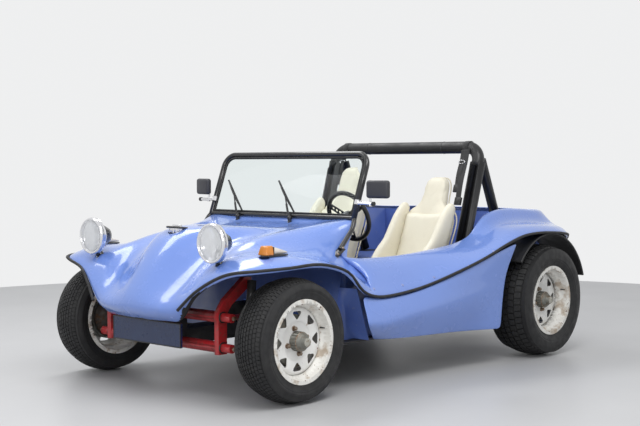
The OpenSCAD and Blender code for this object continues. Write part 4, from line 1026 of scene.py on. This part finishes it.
# The side bolsters sweep forward from the shoulders to the cushion's front.
wing_outline = [(-0.236, 0.026), (-0.152, 0.138), (-0.094, 0.206), (-0.018, 0.272), (0.028, 0.340),
                (0.082, 0.412),
                (0.130, 0.456), (0.180, 0.486), (0.214, 0.446), (0.110, 0.195), (0.026, 0.004),
                (-0.215, 0.004)]
back_outline = [(-0.178, 0.02), (-0.182, 0.12), (-0.184, 0.28), (-0.189, 0.365), (-0.187, 0.425),
                (-0.168, 0.474),
                (-0.130, 0.508), (-0.098, 0.540), (-0.090, 0.580), (-0.086, 0.635), (-0.070, 0.682),
                (-0.038, 0.708)]
back_outline += [(-x, z) for x, z in reversed(back_outline)]
for side, s in (("left", 1), ("right", -1)):
    centre = Vector((s * fold.x, fold.y, fold.z))
    # cushion: a crowned block with a roll down each side and a rounded front
    cushion = block("cushion", cream_leather, (centre.x, centre.y - 0.215, centre.z - 0.012),
                    (0.350, 0.430, 0.084))
    applied(cushion, "BEVEL", width=0.030, segments=4, limit_method="NONE")
    puffed(cushion, 0.016, rounds=8)
    rolls = []
    for k in (1, -1):
        roll = block("cushion_roll", cream_leather,
                     (centre.x + k * 0.166, centre.y - 0.215, centre.z + 0.008),
                     (0.052, 0.425, 0.088))
        applied(roll, "BEVEL", width=0.022, segments=4, limit_method="NONE")
        rolls.append(puffed(roll, 0.008, voxel=0.008, rounds=8))
        wing = outline_pad("seat_wing", wing_outline, 0.046, cream_leather)
        wing.rotation_euler.z = math.radians(90)
        wing.location = (centre.x + k * 0.172 + 0.023, centre.y, centre.z)
        rolls.append(puffed(wing, 0.006, voxel=0.008, rounds=22))
    # back: its outline runs in from the shoulders to the headrest
    back = outline_pad("seat_back", back_outline, 0.058, cream_leather)
    puffed(back, 0.015, rounds=10)
    head = block("head_pad", cream_leather, (0, 0, 0), (0.168, 0.090, 0.226))
    baked(False, False)
    applied(head, "BEVEL", width=0.038, segments=5, limit_method="NONE")
    for v in head.data.vertices:
        up = v.co.z / 0.113
        slim = 1 - 0.30 * up * up if up > 0 else 1 + 0.22 * up * up
        v.co.x *= slim
        v.co.y *= min(slim, 1)
    head.location = (0, 0.032, 0.590)
    puffed(head, 0.006, voxel=0.008, rounds=22)
    lumbar = block("lumbar_pad", cream_leather, (0, 0.006, 0.240), (0.318, 0.070, 0.44))
    applied(lumbar, "BEVEL", width=0.030, segments=4, limit_method="NONE")
    puffed(lumbar, 0.012, voxel=0.008, rounds=16)
    welt = hose("back_welt", [(x * 0.975, 0.054, z * 0.99 + 0.002) for x, z in back_outline],
                0.0045, cream_piping)
    upright = [back, head, lumbar, welt]
    for o in upright:
        o.rotation_euler.x = -seat_lean
        o.location = (centre.x, centre.y + 0.012, centre.z - 0.012)
    only(*upright)
    baked()
    base = block("seat_base", mirror_black, (centre.x, centre.y - 0.20, 0.313), (0.33, 0.38, 0.135))
    settled(base, bevel=0.012)
    seat = put_together("seat_" + side + "_skin", [cushion] + rolls + upright + [base])
    baked()
    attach(seat, "chassis")
    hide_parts("seat_" + side)

# ---- Steering wheel ----
# A small sports wheel: a leather-covered rim, three pierced alloy spokes and a
# black centre pad, on a plain black column.
rim_leather = finish("rim_leather", (0.014, 0.014, 0.015), 0.42)
pitted(rim_leather, 380, 3, 0.0005, 0.5)
polish(rim_leather, 25, 3, 0.3, 0.7, 0.35, 0.55)
spoke_alloy = finish("spoke_alloy", (0.10, 0.10, 0.105), 0.35, metal=0.8)
relief(spoke_alloy, grain(spoke_alloy, 300, 2, (1, 0.05, 1)), 0.0002, 0.4)
wheel_at = Vector((0.35, -0.3075, 0.868))
rake = math.radians(23)
hand = []
grip = drawn("torus", "hand_rim", rim_leather, location=(0, 0, 0), major_radius=0.140,
             minor_radius=0.0128,
             major_segments=96, minor_segments=20)
hand.append(grip)
stitch = drawn("torus", "rim_seam", edge_rubber, location=(0, 0, -0.0002), major_radius=0.1274,
               minor_radius=0.0012,
               major_segments=96, minor_segments=6)
hand.append(stitch)
for a in (90, 210, 330):
    spoke = block("spoke", spoke_alloy, (0.0785, 0, -0.008), (0.112, 0.034, 0.0045))
    baked()
    for k in range(3):
        cut = drawn("cylinder", "spoke_hole", spoke_alloy, vertices=32, radius=0.009 - 0.001 * k,
                    depth=0.03,
                    location=(0.055 + 0.024 * k, 0, -0.008))
        applied(spoke, "BOOLEAN", object=cut, operation="DIFFERENCE", solver="EXACT")
        bpy.data.objects.remove(cut)
    spoke.rotation_euler.z = math.radians(a)
    hand.append(spoke)
hub = drawn("cylinder", "hand_hub", spoke_alloy, vertices=48, radius=0.034, depth=0.038,
            location=(0, 0, -0.023))
shaft = drawn("cylinder", "hand_shaft", bright_chrome, vertices=32, radius=0.011, depth=0.09,
              location=(0, 0, -0.075))
pad = drawn("cylinder", "hand_pad", rim_leather, vertices=48, radius=0.030, depth=0.022,
            location=(0, 0, -0.001))
picked(pad, lambda c, n: n.z > 0.9)
bpy.ops.mesh.inset(thickness=0.008)
bpy.ops.mesh.extrude_region_move(TRANSFORM_OT_translate={"value": (0, 0, 0.002)})
bpy.ops.object.mode_set(mode="OBJECT")
hand += [hub, shaft, pad]
for k in range(6):
    a = math.tau * k / 6
    hand.append(drawn("cylinder", "hub_screw", bright_chrome, vertices=12, radius=0.0032,
                      depth=0.004,
                      location=(0.0255 * math.cos(a), 0.0255 * math.sin(a), -0.003)))
hand = put_together("steering_wheel_skin", hand)
baked()
hand.rotation_euler.x = math.radians(23 - 90)
hand.location = wheel_at
settled(hand, "steering_wheel", bevel=0.0012)
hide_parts("steering_wheel")

column_black = finish("column_black", (0.022, 0.022, 0.024), 0.4, coat=0.2)
pitted(column_black, 180, 3, 0.0004, 0.4)
stain(column_black, 30, 5, 0.58, 0.75, (0.07, 0.065, 0.06), 0.5)
polish(column_black, 16, 4, 0.3, 0.7, 0.3, 0.6)
rounded_copy("steering_column", column_black)
stalks = []
for s in (1, -1):
    a = wheel_at - Vector((0, math.cos(rake), math.sin(rake))) * 0.075
    stalks.append(hose("stalk", [a, a + Vector((s * 0.05, -0.004, 0.0)),
                                 a + Vector((s * 0.105, 0.006, 0.004))], 0.0042, wiper_black))
settled(put_together("column_stalks", stalks))

# ---- Dash, floor, tub and controls ----
# The inner tub is blue gelcoat, dull where feet and bags rub it. The dash is a
# black grained panel with four round dials; black rubber mats lie on the floor.
inner_blue = finish("inner_blue", (0.10, 0.17, 0.50), 0.42, coat=0.2)
stain(inner_blue, 6, 5, 0.5, 0.75, (0.075, 0.13, 0.40), 0.6)
stain(inner_blue, 60, 6, 0.6, 0.72, (0.28, 0.30, 0.42), 0.35)
pitted(inner_blue, 45, 5, 0.0008, 0.35)
polish(inner_blue, 10, 4, 0.3, 0.7, 0.35, 0.62)
rounded_copy("inner_tub", inner_blue)
floor_black = finish("floor_black", (0.022, 0.022, 0.023), 0.7)
pitted(floor_black, 260, 4, 0.0015, 0.6)
stain(floor_black, 14, 5, 0.5, 0.75, (0.07, 0.065, 0.06), 0.7)
rounded_copy("floor_pan", floor_black)
dash_black = finish("dash_black", (0.020, 0.020, 0.021), 0.5)
pitted(dash_black, 420, 3, 0.0008, 0.6)
stain(dash_black, 10, 3, 0.55, 0.8, (0.045, 0.045, 0.048), 0.5)
rounded_copy("dashboard", dash_black)
for part_name, metal_slot in (("pedals", "black_steel"), ("gear_lever", "black_plastic")):
    rounded_copy(part_name, column_black)
dial_face = finish("dial_face", (0.012, 0.012, 0.014), 0.3)
tint(dial_face, level(dial_face, waves(dial_face, 60, "X"), 0.97, 0.99, 0, 0.5), (0.7, 0.7, 0.68))
dash_face = -0.5535
dial_height = 0.760
dials = []
for x, r in ((0.265, 0.039), (0.435, 0.039), (0.12, 0.025), (0.05, 0.025)):
    bezel = drawn("torus", "dial_bezel", bright_chrome,
                  location=(x, dash_face + 0.004, dial_height),
                  rotation=ENDWISE,
                  major_radius=r * 0.88, minor_radius=0.004, major_segments=56, minor_segments=10)
    face = drawn("cylinder", "dial_face", dial_face, vertices=48, radius=r * 0.86, depth=0.006,
                 location=(x, dash_face + 0.002, dial_height), rotation=ENDWISE)
    needle = block("dial_needle", cream_leather, (x + 0.008, dash_face + 0.006, 0.768),
                   (0.0016, 0.001, r * 0.9), turn=(0, math.radians(40), 0))
    dials += [bezel, face, needle]
for k in range(5):
    knob = drawn("cylinder", "dash_knob", bright_chrome, vertices=24, radius=0.009, depth=0.022,
                 location=(-0.04 - 0.05 * k, dash_face + 0.011, 0.742), rotation=ENDWISE)
    picked(knob, lambda c, n: n.z < -0.9)
    bpy.ops.mesh.inset(thickness=0.002)
    bpy.ops.mesh.extrude_region_move(TRANSFORM_OT_translate={"value": (0, 0, -0.003)})
    bpy.ops.object.mode_set(mode="OBJECT")
    dials.append(knob)
settled(put_together("dash_dials", dials), bevel=0.0008)
mats = []
for s in (1, -1):
    mat_piece = drawn("grid", "foot_mat", floor_black, x_subdivisions=15, y_subdivisions=3, size=1,
                      location=(0, 0, 0))
    picked(mat_piece, lambda c, n: round((c.x + 0.5) * 15 - 0.5) % 2 == 0)
    bpy.ops.mesh.extrude_region_move(TRANSFORM_OT_translate={"value": (0, 0, 0.003)})
    bpy.ops.object.mode_set(mode="OBJECT")
    mat_piece.scale = (0.46, 0.36, 1)
    mat_piece.location = (s * 0.345, -0.41, 0.2445)
    baked()
    applied(mat_piece, "SOLIDIFY", thickness=0.002, offset=-1)
    mats.append(mat_piece)
settled(put_together("foot_mats", mats))

# ---- Front beam, arms and brakes ----
# Two torsion tubes joined by curved towers, with trailing arms, all in red paint
# that grime and rust have dulled; knuckles and drums are bare dirty steel.
red_enamel = finish("red_enamel", (0.42, 0.020, 0.024), 0.4, coat=0.2)
grime = grain(red_enamel, 18, 6)
tint(red_enamel, level(red_enamel, grime, 0.48, 0.72, 0, 0.75), (0.10, 0.018, 0.018))
stain(red_enamel, 70, 6, 0.6, 0.68, (0.13, 0.07, 0.05), 0.8)
drives(red_enamel, level(red_enamel, grime, 0.4, 0.7, 0.3, 0.7), "Roughness")
pitted(red_enamel, 60, 5, 0.0009, 0.4)
dirty_steel = finish("dirty_steel", (0.10, 0.085, 0.075), 0.62, metal=0.5)
stain(dirty_steel, 50, 6, 0.5, 0.66, (0.13, 0.062, 0.03))
pitted(dirty_steel, 90, 5, 0.0009, 0.6)
polish(dirty_steel, 30, 4, 0.35, 0.7, 0.5, 0.85)
rounded_copy("front_beam", red_enamel)
rounded_copy("front_arms", red_enamel)
for side in ("left", "right"):
    rounded_copy("knuckle_" + side, dirty_steel)
bits = []
for s in (1, -1):
    for z in (0.262, 0.412):
        bits.append(drawn("cylinder", "arm_bolt", bare_bolt, vertices=6, radius=0.012, depth=0.012,
                          location=(s * 0.524, -1.3475, z), rotation=ACROSS))
        bits.append(drawn("torus", "arm_seal", edge_rubber, location=(s * 0.4445, -1.3475, z),
                          rotation=ACROSS,
                          major_radius=0.0245, minor_radius=0.004, major_segments=40,
                          minor_segments=8))
settled(put_together("beam_bits", bits), bevel=0.0012)

# Dampers stand between the lower arms and the towers: a dark tube over a rod.
dampers = []
for s in (1, -1):
    top, foot = Vector((s * 0.460, -1.165, 0.590)), Vector((s * 0.488, -1.215, 0.285))
    way = top - foot
    turn = way.to_track_quat("Z", "Y").to_euler()
    for share, r, length in ((0.70, 0.023, 0.17), (0.30, 0.019, 0.14), (0.5, 0.008, 0.30)):
        dampers.append(drawn("cylinder", "damper", column_black, vertices=32, radius=r,
                             depth=length,
                             location=foot + way * share, rotation=turn))
settled(put_together("front_dampers", dampers), bevel=0.002)

# ---- Plate ----
# A blank dark blue plate in a thin black holder, hung on two straps under the nose.
# The plate is painted sheet metal, and the holder's rim is moulded plastic.
plate_blue = finish("plate_blue", (0.006, 0.020, 0.075), 0.34, coat=0.3)
stain(plate_blue, 9, 4, 0.5, 0.8, (0.012, 0.034, 0.10), 0.5)
polish(plate_blue, 20, 4, 0.3, 0.7, 0.22, 0.4)
rounded_copy("number_plate", plate_blue)
low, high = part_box("number_plate")
plate_z, half_tall, half_wide = 0.316, 0.0585, 0.2655
frame_bits = []
for z in (plate_z - half_tall, plate_z + half_tall):
    bar = block("plate_rim", wiper_black, (0, low[1] + 0.0005, z), (0.536, 0.005, 0.006))
    frame_bits.append(bar)
for x in (-half_wide, half_wide):
    bar = block("plate_rim", wiper_black, (x, low[1] + 0.0005, plate_z), (0.006, 0.005, 0.122))
    frame_bits.append(bar)
settled(put_together("plate_holder", frame_bits), bevel=0.002)

# ---- Rear arch bands ----
# Black plastic bands widen the rear arches over the fat tyres, one bolted inside
# each wing edge.
band_black = finish("band_black", (0.018, 0.018, 0.019), 0.5)
pitted(band_black, 240, 3, 0.0006, 0.5)
stain(band_black, 12, 4, 0.5, 0.8, (0.05, 0.05, 0.052), 0.5)
polish(band_black, 20, 4, 0.3, 0.7, 0.4, 0.62)
rounded_copy("rear_arch_trims", band_black)
band_y, band_z, band_r = 0.9265, 0.336, 0.401
lips = []
for s in (1, -1):
    line = []
    for k in range(25):
        a = math.radians(18 + 124 * k / 24)
        line.append((s * 0.8815, band_y + band_r * math.cos(a), band_z + band_r * math.sin(a)))
    lips.append(hose("arch_lip", line, 0.007, band_black, steps=1))
settled(put_together("arch_lips", lips))

# ---- Tail lamps ----
# Round red lamps in bright rings on the tail panel. The lenses are moulded plastic,
# ribbed inside, and each ring is seated on a black rubber gasket.
red_lens = finish("red_lens", (0.50, 0.008, 0.010), 0.12, coat=0.8)
relief(red_lens, waves(red_lens, 40, "Y", kind="RINGS"), 0.001, 0.6)
rounded_copy("tail_lamps", red_lens)
low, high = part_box("tail_lamps")
lamp_rings = []
for s in (1, -1):
    lamp_rings.append(drawn("torus", "tail_ring", bright_chrome,
                            location=(s * 0.560, high[1] - 0.008, (low[2] + high[2]) / 2),
                            rotation=ENDWISE, major_radius=0.0415, minor_radius=0.0045,
                            major_segments=56, minor_segments=10))
    lamp_rings.append(drawn("torus", "tail_gasket", edge_rubber,
                            location=(s * 0.560, high[1] - 0.026, (low[2] + high[2]) / 2),
                            rotation=ENDWISE, major_radius=0.0425, minor_radius=0.004,
                            major_segments=56, minor_segments=10))
settled(put_together("tail_lamp_rings", lamp_rings))

# ---- Engine, gearbox and exhaust ----
# A flat four-cylinder engine behind the axle: finned cylinders each side of a cast
# case, a black fan housing above, and a transverse silencer with two short pipes.
cast_alloy = finish("cast_alloy", (0.34, 0.33, 0.32), 0.55, metal=0.7)
stain(cast_alloy, 14, 6, 0.48, 0.7, (0.12, 0.11, 0.10), 0.8)
pitted(cast_alloy, 160, 4, 0.0008, 0.5)
polish(cast_alloy, 20, 4, 0.3, 0.7, 0.45, 0.75)
pipe_steel = finish("pipe_steel", (0.16, 0.14, 0.125), 0.5, metal=0.8)
stain(pipe_steel, 30, 6, 0.46, 0.66, (0.16, 0.08, 0.045))
pitted(pipe_steel, 120, 4, 0.0006, 0.5)
low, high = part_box("engine_block")
mid_y = (low[1] + high[1]) / 2
engine = []
case = block("engine_case", cast_alloy, (0, mid_y, 0.335), (0.24, 0.30, 0.20))
engine.append(case)
sump = drawn("cylinder", "engine_sump", cast_alloy, vertices=48, radius=0.075, depth=0.02,
             location=(0, mid_y, 0.240))
engine.append(sump)
for s in (1, -1):
    for dy in (-0.075, 0.075):
        for k in range(9):
            fin = drawn("cylinder", "cooling_fin", cast_alloy, vertices=40,
                        radius=0.062 - 0.003 * (k % 2), depth=0.0045,
                        location=(s * (0.132 + 0.0125 * k), mid_y + dy, 0.345), rotation=ACROSS)
            engine.append(fin)
        engine.append(drawn("cylinder", "barrel", cast_alloy, vertices=32, radius=0.048, depth=0.13,
                            location=(s * 0.18, mid_y + dy, 0.345), rotation=ACROSS))
    head = block("cylinder_head", cast_alloy, (s * 0.262, mid_y, 0.350), (0.05, 0.28, 0.13))
    cover = block("rocker_cover", black_enamel, (s * 0.307, mid_y, 0.350), (0.042, 0.25, 0.085))
    shroud = block("cylinder_tin", black_enamel, (s * 0.20, mid_y, 0.4235), (0.20, 0.30, 0.012))
    engine += [head, cover, shroud]
housing = drawn("cylinder", "fan_housing", black_enamel, vertices=64, radius=0.105, depth=0.09,
                location=(0, low[1] + 0.082, 0.447), rotation=ENDWISE)
picked(housing, lambda c, n: n.z < -0.9)
bpy.ops.mesh.inset(thickness=0.05)
bpy.ops.mesh.extrude_region_move(TRANSFORM_OT_translate={"value": (0, 0, 0.03)})
bpy.ops.object.mode_set(mode="OBJECT")
engine.append(housing)
dynamo = drawn("cylinder", "dynamo", cast_alloy, vertices=40, radius=0.045, depth=0.14,
               location=(0, low[1] + 0.205, 0.470), rotation=ENDWISE)
engine.append(dynamo)
for at, r, deep in (((0, low[1] + 0.285, 0.470), 0.05, 0.018),
                    ((0, low[1] + 0.318, 0.305), 0.075, 0.02)):
    pulley = drawn("cylinder", "pulley", pipe_steel, vertices=56, radius=r, depth=deep, location=at,
                   rotation=ENDWISE)
    engine.append(pulley)
belt_line = []
for k in range(24):
    a = math.tau * k / 24
    up = math.sin(a) > 0
    r = 0.051 if up else 0.076
    belt_line.append((r * math.cos(a), low[1] + 0.300, (0.470 if up else 0.305) + r * math.sin(a)))
engine.append(hose("fan_belt", belt_line + belt_line[:1], 0.005, edge_rubber, steps=2))
engine = settled(put_together("engine_block_skin", engine), bevel=0.003)
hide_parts("engine_block")
rounded_copy("gearbox", cast_alloy)
rounded_copy("exhaust", pipe_steel)
rounded_copy("rear_axle", column_black)
low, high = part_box("exhaust")
tips = []
for s in (1, -1):
    tips.append(drawn("torus", "pipe_lip", bright_chrome,
                      location=(s * 0.120, high[1] - 0.003, 0.262), rotation=ENDWISE,
                      major_radius=0.016, minor_radius=0.0028, major_segments=40, minor_segments=8))
settled(put_together("exhaust_tips", tips))

# ---- Last step ----
# Nothing is left selected.
bpy.ops.object.select_all(action="DESELECT")
